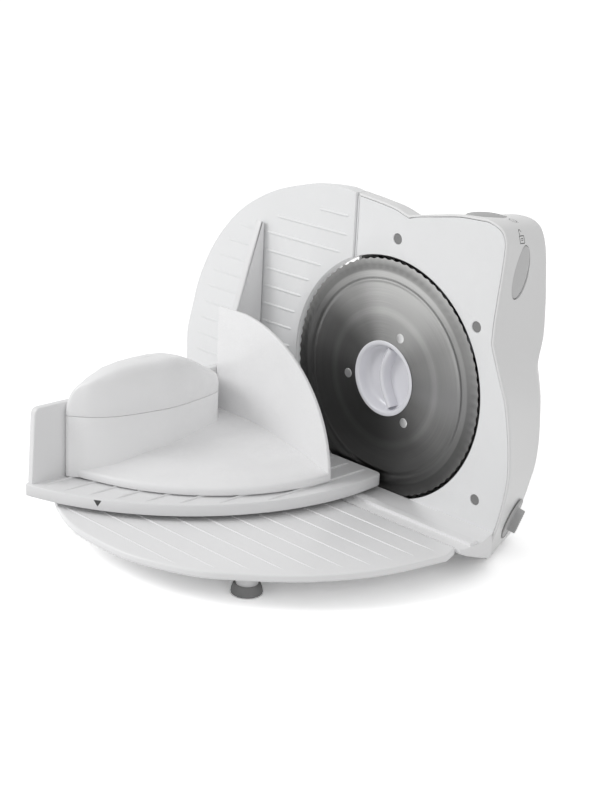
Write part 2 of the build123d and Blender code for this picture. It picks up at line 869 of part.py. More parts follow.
with BuildPart() as stop_plate:
    with BuildSketch(front_view(stop_flange_depth)):
        with BuildLine():
            Polyline(*stop_outline, close=True)
        make_face()
    extrude(amount=stop_flange_depth + stop_proud)
    with BuildSketch(front_view(stop_flange_depth)):
        with BuildLine():
            Polyline(*inset(stop_outline, stop_flange_width), close=True)
        make_face()
    extrude(amount=stop_flange_depth - stop_thickness, mode=Mode.SUBTRACT)
    for left, right, height in stop_ribs:
        low = (left, proud_y - rib_height, height - rib_width / 2)
        add(block(low, (right, proud_y, height + rib_width / 2)))
    with BuildSketch(front_view(stop_thickness)):
        with Locations(*carrier_screw_places):
            Circle(screw_radius + bore_gap)
    extrude(amount=stop_thickness - carrier_screw_skin, mode=Mode.SUBTRACT)
    notch_low = (-carrier_left - clear_gap, stop_thickness, -stop_foot)
    notch_high = (-carrier_right + clear_gap, stop_flange_depth, -stop_foot + stop_flange_width)
    add(block(notch_low, notch_high), mode=Mode.SUBTRACT)
save(stop_plate, "stop_plate")

with BuildPart() as carrier_screws:
    with BuildSketch(front_view(carrier_back)):
        with Locations(*carrier_screw_places):
            Circle(screw_radius)
    extrude(amount=carrier_back - carrier_screw_skin)
    with BuildSketch(front_view(carrier_back)):
        with Locations(*carrier_screw_places):
            Circle(screw_head_radius)
    extrude(amount=-screw_head)
save(carrier_screws, "carrier_screws")

# Dial frame: along the dial's axis, with its first direction as near to straight back as it can be
axis_length = sqrt(sum(share**2 for share in dial_axis))
axis_x, axis_y, axis_z = (share / axis_length for share in dial_axis)
back_share = sqrt(1 - axis_y**2)
toward_back = (-axis_y * axis_x / back_share, back_share, -axis_y * axis_z / back_share)
dial_plane = Plane(
    origin=(blade_x + dial_x, plate_y + dial_y, blade_z + dial_z),
    x_dir=toward_back,
    z_dir=(axis_x, axis_y, axis_z),
)
cam_plane = dial_plane.offset(-cam_distance)
cam_growth = slice_max * back_share
cam_slope = cam_growth / radians(dial_turn) / cam_small_radius
peg_place = cam_small_radius + (peg_radius + free_gap) * sqrt(1 + cam_slope**2)

cam_outline = []
for step in range(cam_points):
    share = step / (cam_points - 1)
    angle = -radians(dial_turn) * share
    reach = cam_small_radius + cam_growth * share
    cam_outline.append((reach * cos(angle), reach * sin(angle)))
for turn, reach in [
    (dial_turn + cam_dwell, cam_small_radius + cam_growth),
    (dial_turn + cam_return, cam_small_radius),
    (360 - cam_dwell, cam_small_radius),
]:
    cam_outline.append((reach * cos(-radians(turn)), reach * sin(-radians(turn))))

pocket_floor = -dial_pocket_depth
with BuildPart() as dial_cam:
    with BuildSketch(cam_plane.offset(-cam_thickness / 2)):
        with BuildLine():
            Polyline(*cam_outline, close=True)
        make_face()
    extrude(amount=cam_thickness)
    with BuildSketch(cam_plane.offset(cam_thickness / 2)):
        Circle(dial_shaft_radius)
    extrude(amount=cam_distance - cam_thickness / 2 + pocket_floor + free_gap)
save(dial_cam, "dial_cam")

with BuildPart() as thickness_dial:
    with BuildSketch(dial_plane.offset(pocket_floor + free_gap)):
        Circle(dial_radius)
    extrude(amount=dial_flange)
    with BuildSketch(dial_plane.offset(pocket_floor + free_gap + dial_flange)):
        SlotOverall(2 * dial_grip_radius, dial_grip_width, rotation=90)
    extrude(amount=dial_grip - dial_flange)
save(thickness_dial, "thickness_dial")

# Carrier: plate behind the stop plate, two guide pins, the bar under the gear and the arm's peg
carrier_width = carrier_left - carrier_right
pin_places = [(carrier_width * share - carrier_left, pin_z) for share in pin_shares]
peg_plane = Plane(cam_plane * Location((peg_place, 0, 0)))

with BuildPart() as stop_carrier:
    add(block((-carrier_left, stop_thickness, carrier_foot), (-carrier_right, carrier_back, carrier_top)))
    with BuildSketch(front_view(carrier_back)):
        with Locations(*carrier_screw_places):
            Circle(screw_radius + bore_gap)
    extrude(amount=carrier_thickness, mode=Mode.SUBTRACT)
    bar_back = carrier_back + bar_depth
    add(block((-carrier_left, carrier_back - free_gap, bar_foot), (arm_right, bar_back, bar_top)))
    add(block((arm_left, carrier_back - free_gap, bar_foot), (arm_right, bar_back, arm_top)))
    add(block((arm_left, carrier_back, arm_foot), (arm_right, arm_back, arm_top)))
    add(rod(peg_plane, peg_radius, -peg_inner, peg_outer))
save(stop_carrier, "stop_carrier")

with BuildPart() as guide_pins:
    with BuildSketch(front_view(carrier_back)):
        with Locations(*pin_places):
            Circle(pin_radius)
    extrude(amount=-pin_length)
save(guide_pins, "guide_pins")

# Top button and its switch
top_plane = plan_view(top_flange_z) * Location((top_button_x, top_button_y, 0))
top_plane = Plane(top_plane)
top_side = top_button_top - top_flange_z - top_button_dome

with BuildPart() as top_button:
    with BuildSketch(top_plane):
        Circle(top_button_radius + top_flange)
    extrude(amount=top_flange_thickness)
    with BuildSketch(top_plane):
        Circle(top_button_radius)
    extrude(amount=top_side)
    with BuildSketch(top_plane.offset(top_side)):
        Circle(top_button_radius)
    with BuildSketch(top_plane.offset(top_side + top_button_dome)):
        Circle(top_button_radius * top_button_flat_share)
    loft()
    with BuildSketch(top_plane):
        Circle(button_stem_radius)
    extrude(amount=top_stem_foot - top_flange_z)
save(top_button, "top_button")

plunger_top = top_stem_foot - button_travel - free_gap
switch_top = plunger_top - plunger_height
switch_low = (
    top_button_x - switch_width / 2,
    top_button_y - switch_length / 2,
    switch_top - switch_height,
)
switch_high = (top_button_x + switch_width / 2, top_button_y + switch_length / 2, switch_top)

with BuildPart() as top_switch:
    add(block(switch_low, switch_high))
    add(rod(top_plane, plunger_radius, switch_top - top_flange_z, plunger_top - top_flange_z))
save(top_switch, "top_switch")

# Side button and its switch
side_plane = Plane(side_view(side_flange_x) * Location((side_button_y, side_button_z, 0)))
side_lean = 90 - side_button_tilt

with BuildPart() as side_button:
    with BuildSketch(side_plane):
        Ellipse(side_button_long + side_flange_edge, side_button_short + side_flange_edge, rotation=side_lean)
    extrude(amount=side_flange)
    with BuildSketch(side_plane):
        Ellipse(side_button_long, side_button_short, rotation=side_lean)
    extrude(amount=side_button_face - side_flange_x)
    with BuildSketch(side_plane):
        Circle(button_stem_radius)
    extrude(amount=side_stem_x - side_flange_x)
save(side_button, "side_button")

plunger_reach = side_stem_x - button_travel - free_gap
side_switch_right = plunger_reach - plunger_height
side_low = (
    side_switch_right - switch_height,
    side_button_y - switch_width / 2,
    side_button_z - switch_length / 2,
)
side_high = (
    side_switch_right,
    side_button_y + switch_width / 2,
    side_button_z + switch_length / 2,
)

with BuildPart() as side_switch:
    add(block(side_low, side_high))
    add(rod(side_plane, plunger_radius, side_switch_right - side_flange_x, plunger_reach - side_flange_x))
save(side_switch, "side_switch")

# Motor, shaft, bracket and the worm's lower bush
motor_end = motor_start + motor_length
bracket_start = motor_start - bracket_thickness

with BuildPart() as motor:
    add(rod(worm_plane, motor_radius, motor_start, motor_end))
    add(rod(worm_plane, shaft_radius + run_gap, motor_start, motor_end), mode=Mode.SUBTRACT)
save(motor, "motor")

with BuildPart() as motor_shaft:
    add(rod(worm_plane, shaft_radius, -shaft_foot, motor_end + bracket_thickness))
save(motor_shaft, "motor_shaft")

bracket_back = bracket_flange_y + bracket_thickness
bracket_top = motor_start * cos(lead_angle)
bracket_left = centre_distance - bracket_width / 2
bracket_right = centre_distance + bracket_width / 2
motor_y = (gear_front + gear_back) / 2 + motor_start * sin(lead_angle)
bracket_screw_places = []
for side in (-1, 1):
    across = centre_distance + side * bracket_screw_spread / 2
    bracket_screw_places.append((across, bracket_top - bracket_flange_drop / 2))

with BuildPart() as motor_bracket:
    with BuildSketch(worm_plane.offset(bracket_start)):
        with Locations((0, 0)):
            Rectangle(bracket_width, 2 * bracket_front)
        Circle(motor_neck_radius, mode=Mode.SUBTRACT)
    extrude(amount=bracket_thickness)
    arm_low = (bracket_left, motor_y + bracket_front - bracket_thickness, bracket_top - 2 * bracket_thickness)
    add(block(arm_low, (bracket_right, bracket_back, bracket_top - bracket_thickness)))
    flange_low = (bracket_left, bracket_flange_y, bracket_top - bracket_flange_drop)
    add(block(flange_low, (bracket_right, bracket_back, bracket_top - bracket_thickness)))
    with BuildSketch(front_view(bracket_back)):
        with Locations(*bracket_screw_places):
            Circle(screw_radius + run_gap)
    extrude(amount=bracket_thickness, mode=Mode.SUBTRACT)
save(motor_bracket, "motor_bracket")

with BuildPart() as motor_screws:
    with BuildSketch(front_view(bracket_flange_y)):
        with Locations(*bracket_screw_places):
            Circle(screw_head_radius)
    extrude(amount=screw_head)
    with BuildSketch(front_view(bracket_flange_y)):
        with Locations(*bracket_screw_places):
            Circle(screw_radius)
    extrude(amount=-screw_length)
save(motor_screws, "motor_screws")

bush_end = -bush_start - bush_length
with BuildPart() as worm_bush:
    add(rod(worm_plane, bush_radius, bush_end, -bush_start))
    add(rod(worm_plane, shaft_radius + run_gap, bush_end, -bush_start), mode=Mode.SUBTRACT)
save(worm_bush, "worm_bush")

# Cable gland in the rear wall
with BuildPart() as cable_gland:
    with BuildSketch(front_view(housing_depth)):
        with Locations((gland_x, gland_z)):
            Circle(gland_radius)
            Circle(gland_bore, mode=Mode.SUBTRACT)
    extrude(amount=housing_depth - inner_back)
    with BuildSketch(front_view(inner_back)):
        with Locations((gland_x, gland_z)):
            Circle(gland_flange_radius)
            Circle(gland_bore, mode=Mode.SUBTRACT)
    extrude(amount=gland_flange)
save(cable_gland, "cable_gland")

# Rubber feet under the housing
foot_places = []
for across, back in housing_foot_shares:
    foot_places.append((plate_reach * across, housing_depth * back))

with BuildPart() as housing_feet:
    with BuildSketch(plan_view(-ground_drop)):
        with Locations(*foot_places):
            Circle(foot_radius)
    extrude(amount=ground_drop - plate_foot + foot_socket)
save(housing_feet, "housing_feet")

# Inner posts and ribs of the housing, cut to its outer form
spindle_boss_length = housing_depth - gear_hub_back - slot_margin
spindle_boss = rod(front_view(housing_depth), 2 * spindle_radius, 0, spindle_boss_length)
posts = [spindle_boss]
for index, (across, height) in enumerate(plug_places):
    boss_plane = Plane(front_view(housing_depth) * Location((across, height, 0)))
    boss_length = housing_depth - cup_depth - boss_gap
    posts.append(rod(boss_plane, boss_radius, 0, boss_length))
short_plug = plug_places[2]
short_low = (short_plug[0] - boss_radius, short_boss_back, short_plug[1] - boss_radius)
short_cut = block(short_low, (plate_reach, housing_depth, short_plug[1] + boss_radius))
gusset_low = (short_plug[0], cup_depth + boss_gap, short_plug[1] - boss_radius)
gusset = block(gusset_low, (plate_reach, short_boss_back, short_plug[1] + boss_radius))
shelf_low = (switch_low[0], switch_low[1], switch_low[2] - shelf_thickness)
shelf = block(shelf_low, (switch_high[0], housing_depth, switch_low[2]))
side_rib_low = (side_low[0], side_high[1], side_low[2])
side_rib = block(side_rib_low, (side_high[0], housing_depth, side_low[2] + switch_width))
bearing_z = (bush_start + bush_length / 2) * cos(lead_angle)
bearing_low = (centre_distance - bearing_block / 2, gear_front - bush_radius, -bearing_z - bush_length / 2)
bearing_high = (centre_distance + bearing_block / 2, housing_depth, -bearing_z + bush_length / 2)
bearing_rib = block(bearing_low, bearing_high)
guide_low = (-rear_base_left, guide_rib_y, -plate_foot)
guide_high = (boss_radius - carrier_right, guide_rib_y + guide_rib, -base_top)
guide_rib_block = block(guide_low, guide_high)
dial_boss = rod(dial_plane, dial_pocket_radius + dial_boss_wall, pocket_floor - dial_boss_depth, dial_flange)
motor_posts = []
for across, height in bracket_screw_places:
    post_plane = Plane(front_view(housing_depth) * Location((across, height, 0)))
    motor_posts.append(rod(post_plane, boss_radius, 0, housing_depth - bracket_back))
posts[3] = posts[3] - short_cut

inner_pieces = posts + motor_posts
inner_pieces += [gusset, shelf, side_rib, bearing_rib, guide_rib_block, dial_boss]

with BuildPart() as rear_housing:
    add(housing_form.part)
    add(housing_hollow.part, mode=Mode.SUBTRACT)
    for piece in inner_pieces:
        add(piece & housing_form.part)
    with BuildSketch(front_view(0)):
        with BuildLine():
            Polyline(*inset(plate_outline, -free_gap), close=True)
        make_face()
    extrude(amount=-plate_thickness, mode=Mode.SUBTRACT)
    with BuildSketch(front_view(0)):
        Circle(opening_radius + clear_gap)
    extrude(amount=-well_back, mode=Mode.SUBTRACT)
    with BuildSketch(front_view(0)):
        with Locations(*plug_places):
            Circle(cup_radius + free_gap)
    extrude(amount=-cup_depth - boss_gap, mode=Mode.SUBTRACT)
    with BuildSketch(front_view(0)):
        with Locations(*plug_places):
            Circle(screw_radius + bore_gap)
    extrude(amount=-short_boss_back, mode=Mode.SUBTRACT)
    with BuildSketch(front_view(0)):
        Circle(spindle_radius + bore_gap)
    extrude(amount=-spindle_back - bore_gap, mode=Mode.SUBTRACT)
    with BuildSketch(top_plane):
        Circle(top_button_radius + clear_gap)
    extrude(amount=ground_drop, mode=Mode.SUBTRACT)
    with BuildSketch(side_plane):
        Ellipse(side_button_long + clear_gap, side_button_short + clear_gap, rotation=side_lean)
    extrude(amount=ground_drop, mode=Mode.SUBTRACT)
    with BuildSketch(dial_plane.offset(pocket_floor)):
        Circle(dial_pocket_radius)
    extrude(amount=ground_drop, mode=Mode.SUBTRACT)
    with BuildSketch(cam_plane):
        Circle(dial_shaft_radius + run_gap)
    extrude(amount=ground_drop, mode=Mode.SUBTRACT)
    add(rod(worm_plane, bush_radius + bore_gap, -motor_length, -bush_start / 2), mode=Mode.SUBTRACT)
    with BuildSketch(front_view(0)):
        with Locations(*pin_places):
            Circle(pin_radius + run_gap)
    extrude(amount=-rear_y, mode=Mode.SUBTRACT)
    with BuildSketch(front_view(bracket_back)):
        with Locations(*bracket_screw_places):
            Circle(screw_radius + bore_gap)
    extrude(amount=-screw_length, mode=Mode.SUBTRACT)
    slot_low = (-carrier_left - slot_margin, 0, -base_top - 2 * wall)
    slot_high = (-carrier_right + slot_margin, carrier_back + slice_max + slot_margin, -stop_foot)
    add(block(slot_low, slot_high), mode=Mode.SUBTRACT)
    with BuildSketch(plan_view(-ground_drop)):
        with Locations(*foot_places):
            Circle(foot_radius + bore_gap)
    extrude(amount=ground_drop - plate_foot + foot_socket, mode=Mode.SUBTRACT)
    with BuildSketch(front_view(housing_depth)):
        with Locations((gland_x, gland_z)):
            Circle(gland_radius + bore_gap)
    extrude(amount=housing_depth - inner_back, mode=Mode.SUBTRACT)
save(rear_housing, "rear_housing")

# Carriage: a ribbed table with a rim, glides over the ledge's rail and a wall that ends in a fin
carriage_foot = carriage_top - carriage_depth
table_width = carriage_rim_x + carriage_rim_radius - carriage_left
fin_outline = [(wall_front, carriage_top - carriage_skin), (wall_front, wall_top - wall_corner)]
fin_outline.append((wall_front + wall_corner, wall_top))
for back_share_fin, height_share in fin_shares:
    fin_outline.append((-fin_reach * back_share_fin, wall_top + fin_height * height_share))
fin_outline.append((wall_back, wall_top + fin_height * fin_back_share))
fin_outline.append((wall_back, carriage_top - carriage_skin))
glide_foot = ledge_top + free_gap
glide_right = carriage_rim_x + carriage_rim_radius - 3 * glide_wall
groove_low = pusher_left - tongue_depth

with BuildPart() as carriage:
    with BuildSketch(plan_view(carriage_foot)) as table_sketch:
        with Locations((carriage_rim_x, carriage_rim_y)):
            Circle(carriage_rim_radius)
        with Locations((carriage_left, carriage_back)):
            Rectangle(
                table_width,
                2 * carriage_rim_radius,
                align=(Align.MIN, Align.MAX),
                mode=Mode.INTERSECT,
            )
        corners = table_sketch.vertices().sort_by(Axis.X)[-1:] + table_sketch.vertices().sort_by(Axis.Y)[:1]
        fillet(corners, radius=carriage_corner)
    extrude(amount=carriage_depth)
    with BuildSketch(plan_view(carriage_foot)):
        add(table_sketch.sketch_local)
        offset(amount=-glide_wall)
    extrude(amount=carriage_depth - carriage_skin, mode=Mode.SUBTRACT)
    for near, far in [
        (-rail_front - free_gap - glide_wall, -rail_front - free_gap),
        (-rail_back + free_gap, -rail_back + free_gap + glide_wall),
    ]:
        low = (carriage_left + glide_wall, near, glide_foot)
        add(block(low, (glide_right, far, carriage_top - carriage_skin)))
    with BuildSketch(side_view(carriage_left)):
        with BuildLine():
            Polyline(*fin_outline, close=True)
        make_face()
    extrude(amount=wall_thickness)
    groove_foot = tongue_z - tongue_height / 2 - tongue_gap
    groove_top = tongue_z + tongue_height / 2 + tongue_gap
    low = (groove_low - tongue_gap, wall_front, groove_foot)
    add(block(low, (pusher_left, tongue_back + rear_y, groove_top)), mode=Mode.SUBTRACT)
save(carriage, "carriage")

with BuildPart() as carriage_runner:
    runner_low = (runner_x - runner_length / 2, runner_y - runner_width / 2, tray_top + free_gap)
    runner_high = (runner_x + runner_length / 2, runner_y + runner_width / 2, carriage_top - carriage_skin)
    add(block(runner_low, runner_high))
save(carriage_runner, "carriage_runner")

# Food holder: a domed floor, an upright plate, a grip body and the cap on it
dome_top = [
    (pusher_floor_radius * across, pusher_foot + dome_height * up) for across, up in floor_shares
]
dome_plane = Plane(
    origin=(blade_x + pusher_floor_x, plate_y + pusher_floor_y, blade_z),
    x_dir=(0, -1, 0),
    z_dir=(-1, 0, 0),
)
dome_axis = Axis(dome_plane.origin, (0, 0, 1))
with BuildPart() as floor_dome:
    with BuildSketch(dome_plane):
        with BuildLine():
            top_line = [(0, pusher_foot + dome_height)] + dome_top
            under_line = [(x, z - pusher_skin) for x, z in top_line[:-2]]
            under_line.append((top_line[-2][0] - pusher_skin, top_line[-2][1] - pusher_skin))
            under_line.append((pusher_floor_radius - pusher_skin, pusher_foot))
            Polyline(*top_line, (pusher_floor_radius, pusher_foot), *reversed(under_line), close=True)
        make_face()
    revolve(axis=dome_axis)

floor_right = pusher_floor_x + pusher_floor_radius
floor_front = pusher_floor_y - pusher_floor_radius
plate_back = plate_front + pusher_plate
floor_low = (pusher_left, floor_front, pusher_foot)
floor_box = block(floor_low, (floor_right, plate_front, pusher_foot + dome_height))
block_outline = []
for across, forward in block_shares:
    block_outline.append((pusher_left + block_width * across, -block_front * forward))

with BuildPart() as pusher:
    add(floor_dome.part & floor_box)
    with BuildSketch(front_view(plate_back)):
        with Locations((plate_x, plate_z)):
            Circle(plate_radius)
        with Locations((pusher_left, pusher_foot)):
            Rectangle(
                2 * plate_radius,
                plate_top - pusher_foot,
                align=(Align.MIN, Align.MIN),
                mode=Mode.INTERSECT,
            )
    extrude(amount=pusher_plate)
    with BuildSketch(plan_view(pusher_foot)):
        with BuildLine():
            Polyline(*block_outline, close=True)
        make_face()
    extrude(amount=block_seam - pusher_foot)
    tongue_low = (pusher_left - tongue_depth, tongue_front, tongue_z - tongue_height / 2)
    add(block(tongue_low, (pusher_left, tongue_back, tongue_z + tongue_height / 2)))
save(pusher, "pusher")

cap_profile = [(-block_front * forward, block_seam + cap_height * up) for forward, up in cap_shares]
cap_profile.append((-block_front * cap_shares[-1][0], block_seam + cap_joint))
cap_profile.insert(0, (-block_front * block_shares[1][1], block_seam + cap_height * cap_shares[0][1]))
cap_profile.insert(0, (-block_front * block_shares[1][1], block_seam + cap_joint))
with BuildPart() as cap_roof:
    with BuildSketch(side_view(pusher_left)):
        with BuildLine():
            Polyline(*cap_profile, close=True)
        make_face()
    extrude(amount=block_width)

with BuildPart() as pusher_cap:
    with BuildSketch(plan_view(block_seam)):
        with BuildLine():
            Polyline(*block_outline, close=True)
        make_face()
    extrude(amount=cap_height)
    add(cap_roof.part, mode=Mode.INTERSECT)
save(pusher_cap, "pusher_cap")
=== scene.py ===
from math import acos, asin, cos, degrees, hypot, pi, radians, sin, sqrt

import bmesh
import bpy
from mathutils import Matrix, Vector
from mathutils.bvhtree import BVHTree


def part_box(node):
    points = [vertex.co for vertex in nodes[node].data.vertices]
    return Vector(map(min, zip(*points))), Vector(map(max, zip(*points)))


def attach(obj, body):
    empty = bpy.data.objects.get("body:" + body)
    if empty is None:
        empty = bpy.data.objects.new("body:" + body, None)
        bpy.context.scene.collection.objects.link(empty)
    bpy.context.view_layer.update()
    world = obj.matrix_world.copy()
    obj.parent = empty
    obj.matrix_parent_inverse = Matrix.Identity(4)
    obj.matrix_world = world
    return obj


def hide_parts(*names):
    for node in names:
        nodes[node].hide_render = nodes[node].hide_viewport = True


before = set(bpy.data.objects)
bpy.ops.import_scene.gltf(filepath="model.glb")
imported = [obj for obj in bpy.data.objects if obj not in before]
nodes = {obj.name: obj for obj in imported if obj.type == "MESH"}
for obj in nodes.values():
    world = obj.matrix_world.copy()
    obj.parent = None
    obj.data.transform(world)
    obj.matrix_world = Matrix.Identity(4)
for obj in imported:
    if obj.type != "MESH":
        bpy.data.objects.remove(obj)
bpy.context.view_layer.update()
scene = bpy.context.scene
bladeLow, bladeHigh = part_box("blade")
bladeProud = 0.0003
bladeCentre = Vector(((bladeLow.x + bladeHigh.x) / 2, bladeLow.y + bladeProud,
                      (bladeLow.z + bladeHigh.z) / 2))
print("frame loaded, blade axis at", tuple(round(c, 5) for c in bladeCentre))


def at(x, y, z):
    # millimetres from the middle of the blade opening, given as a place in the frame
    return bladeCentre + Vector((x, y, z)) * 0.001


def addObject(name, data):
    added = bpy.data.objects.new(name, data)
    scene.collection.objects.link(added)
    return added


# Camera
camera = {
    "place": (725.847, -807.122, 346.217),
    "right": (0.69492584, 0.71755823, 0.0467789),
    "up": (-0.26050886, 0.19058995, 0.94647272),
    "ahead": (-0.6702337, 0.66991467, -0.31937615),
    "lens": 73.245,
    "sensor": 36,
}
cameraData = bpy.data.cameras.new("photoCamera")
cameraData.lens = camera["lens"]
cameraData.sensor_width = camera["sensor"]
cameraObject = addObject("photoCamera", cameraData)
facing = Matrix((camera["right"], camera["up"], [-share for share in camera["ahead"]])).transposed()
cameraObject.matrix_world = Matrix.Translation(at(*camera["place"])) @ facing.to_4x4()
scene.camera = cameraObject


# Finishes
def feed(tree, node, inputs):
    # an input takes a plain value or the socket of another node
    for name, value in inputs.items():
        if isinstance(value, bpy.types.NodeSocket):
            tree.links.new(value, node.inputs[name])
        else:
            node.inputs[name].default_value = value
    return node


def addNode(tree, kind, inputs=None, **values):
    node = tree.nodes.new(kind)
    for name, value in values.items():
        setattr(node, name, value)
    return feed(tree, node, inputs or {})


def mathNode(tree, operation, first, second, clamp=False):
    node = addNode(tree, "ShaderNodeMath", {0: first, 1: second}, operation=operation, use_clamp=clamp)
    return node.outputs[0]


def addSockets(tree, way, sockets):
    for name, kind in sockets:
        tree.interface.new_socket(name, in_out=way, socket_type="NodeSocket" + kind)


def makeMouldedSkin():
    # shared by all plastics: faint cloudy colour, uneven gloss and the fine grain of the mould
    look = {"cloudScale": 22, "cloudGloss": 0.15, "grainGloss": 0.12, "grainDepth": 0.0001}
    group = bpy.data.node_groups.new("mouldedSkin", "ShaderNodeTree")
    addSockets(group, "INPUT", [("Colour", "Color"), ("Cloud", "Float"), ("Gloss", "Float"),
                                ("Grain", "Float"), ("Relief", "Float")])
    addSockets(group, "OUTPUT", [("Colour", "Color"), ("Roughness", "Float"), ("Normal", "Vector")])
    given = addNode(group, "NodeGroupInput").outputs
    place = addNode(group, "ShaderNodeTexCoord").outputs["Object"]
    broad = addNode(group, "ShaderNodeTexNoise",
                    {"Vector": place, "Scale": look["cloudScale"], "Detail": 3}).outputs["Fac"]
    fine = addNode(group, "ShaderNodeTexNoise",
                   {"Vector": place, "Scale": given["Grain"], "Detail": 2}).outputs["Fac"]
    cloud = mathNode(group, "SUBTRACT", broad, 0.5)
    shade = mathNode(group, "ADD", mathNode(group, "MULTIPLY", cloud, given["Cloud"]), 1.0)
    scaled = addNode(group, "ShaderNodeVectorMath", {0: given["Colour"], "Scale": shade}, operation="SCALE")
    speck = mathNode(group, "MULTIPLY", mathNode(group, "SUBTRACT", fine, 0.5), look["grainGloss"])
    uneven = mathNode(group, "ADD", mathNode(group, "MULTIPLY", cloud, look["cloudGloss"]), speck)
    bump = addNode(group, "ShaderNodeBump",
                   {"Distance": look["grainDepth"], "Strength": given["Relief"], "Height": fine})
    addNode(group, "NodeGroupOutput", {
        "Colour": scaled.outputs[0],
        "Roughness": mathNode(group, "ADD", uneven, given["Gloss"], clamp=True),
        "Normal": bump.outputs["Normal"]})
    return group


mouldedSkin = makeMouldedSkin()


def newFinish(name, colour):
    finish = bpy.data.materials.new(name)
    finish.use_nodes = True
    finish.diffuse_color = (*colour, 1)
    return finish, finish.node_tree, finish.node_tree.nodes["Principled BSDF"]


def plastic(name, colour, gloss, grain=2600, relief=0.25, cloud=0.03, coat=0.0):
    finish, tree, shader = newFinish(name, colour)
    skin = addNode(tree, "ShaderNodeGroup", node_tree=mouldedSkin)
    feed(tree, skin, {"Colour": (*colour, 1), "Cloud": cloud, "Gloss": gloss, "Grain": grain,
                      "Relief": relief})
    feed(tree, shader, {"Base Color": skin.outputs["Colour"], "Roughness": skin.outputs["Roughness"],
                        "Normal": skin.outputs["Normal"], "Coat Weight": coat})
    return finish


def bareMetal(name, colour, roughness, stretch=(1, 1, 12)):
    # turned or drawn metal: fine lines along one direction vary its tone and gloss
    look = {"lines": 420, "dark": 0.78, "light": 1.15, "glossSpan": 0.2}
    finish, tree, shader = newFinish(name, colour)
    place = addNode(tree, "ShaderNodeTexCoord").outputs["Object"]
    mapping = addNode(tree, "ShaderNodeMapping", {"Vector": place, "Scale": stretch})
    lines = addNode(tree, "ShaderNodeTexNoise", {
        "Vector": mapping.outputs["Vector"], "Scale": look["lines"], "Detail": 4}).outputs["Fac"]
    ramp = addNode(tree, "ShaderNodeValToRGB", {"Fac": lines})
    ramp.color_ramp.elements[0].color = (*[c * look["dark"] for c in colour], 1)
    ramp.color_ramp.elements[1].color = (*[min(1, c * look["light"]) for c in colour], 1)
    varied = mathNode(tree, "MULTIPLY", lines, look["glossSpan"])
    feed(tree, shader, {
        "Base Color": ramp.outputs["Color"],
        "Roughness": mathNode(tree, "ADD", varied, roughness - look["glossSpan"] / 2),
        "Metallic": 1})
    return finish


def toneRamp(tree, place, tones, blue=1.0):
    ramp = addNode(tree, "ShaderNodeValToRGB", {"Fac": place})
    ramp.color_ramp.interpolation = "EASE"
    stops = ramp.color_ramp.elements
    stops[0].color = (tones[0][1],) * 3 + (1,)
    stops[1].color = (tones[-1][1],) * 3 + (1,)
    for position, tone in tones[1:-1]:
        stops.new(position).color = (tone, tone, tone * blue, 1)
    return ramp.outputs["Color"]


# painted reflection once around the blade, a bright sector toward the upper right and a dark side, then tones
# from its middle to its ground edge
bladeLook = {
    "paintedReflection": [(0.0, 0.20), (0.08, 0.25), (0.17, 0.36), (0.26, 0.33), (0.34, 0.21), (0.42, 0.15),
            (0.5, 0.12), (0.72, 0.11), (0.84, 0.12), (0.93, 0.16), (1.0, 0.20)],
    "zones": [(0.0, 0.72), (0.50, 0.72), (0.56, 0.88), (0.62, 0.72), (0.885, 0.72), (0.905, 0.47),
              (0.94, 0.5), (1.0, 0.66)],
    "reach": 0.085,
    "blue": 0.985,
    "gain": 1.39,
    "linesAround": 5,
    "linesOut": 5200,
    "lineTone": (0.86, 1.14),
    "lineDepth": 0.00003,
    "roughness": 0.24,
    "roughnessSpan": 0.18,
}


def turnedSteelWithPaintedReflection():
    # turned steel: rings of fine lines, with a painted reflection of a dark side and a bright sector toward
    # the upper right
    finish, tree, shader = newFinish("brushedSteelWithPaintedReflection", (0.35, 0.35, 0.35))
    uv = addNode(tree, "ShaderNodeUVMap", uv_map="turn").outputs["UV"]
    parts = addNode(tree, "ShaderNodeSeparateXYZ", {"Vector": uv})
    around, reach = parts.outputs["X"], parts.outputs["Y"]
    # painted reflection by the angle around the blade: bright toward the upper right, dark on the other side
    paintedReflection = toneRamp(tree, around, bladeLook["paintedReflection"], bladeLook["blue"])
    stretched = addNode(tree, "ShaderNodeCombineXYZ", {
        "X": mathNode(tree, "MULTIPLY", around, bladeLook["linesAround"]),
        "Y": mathNode(tree, "MULTIPLY", reach, bladeLook["linesOut"])})
    scratch = addNode(tree, "ShaderNodeTexNoise", {
        "Vector": stretched.outputs["Vector"], "Scale": 1, "Detail": 5, "Roughness": 0.65}).outputs["Fac"]
    rings = addNode(tree, "ShaderNodeMapRange", {
        "Value": scratch, "From Min": 0.3, "From Max": 0.7, "To Min": bladeLook["lineTone"][0],
        "To Max": bladeLook["lineTone"][1]})
    zones = toneRamp(tree, mathNode(tree, "DIVIDE", reach, bladeLook["reach"]), bladeLook["zones"])
    ringed = mathNode(tree, "MULTIPLY", rings.outputs["Result"], zones)
    toned = addNode(tree, "ShaderNodeVectorMath", {
        0: paintedReflection, "Scale": mathNode(tree, "MULTIPLY", ringed, bladeLook["gain"])}, operation="SCALE")
    bump = addNode(tree, "ShaderNodeBump", {
        "Strength": 0.25, "Distance": bladeLook["lineDepth"], "Height": scratch})
    tangent = addNode(tree, "ShaderNodeTangent", direction_type="UV_MAP", uv_map="turn")
    varied = mathNode(tree, "MULTIPLY", scratch, bladeLook["roughnessSpan"])
    feed(tree, shader, {
        "Base Color": toned.outputs[0],
        "Roughness": mathNode(tree, "ADD", varied, bladeLook["roughness"]),
        "Normal": bump.outputs["Normal"],
        "Tangent": tangent.outputs["Tangent"],
        "Metallic": 1,
        "Anisotropic": 0.7})
    return finish


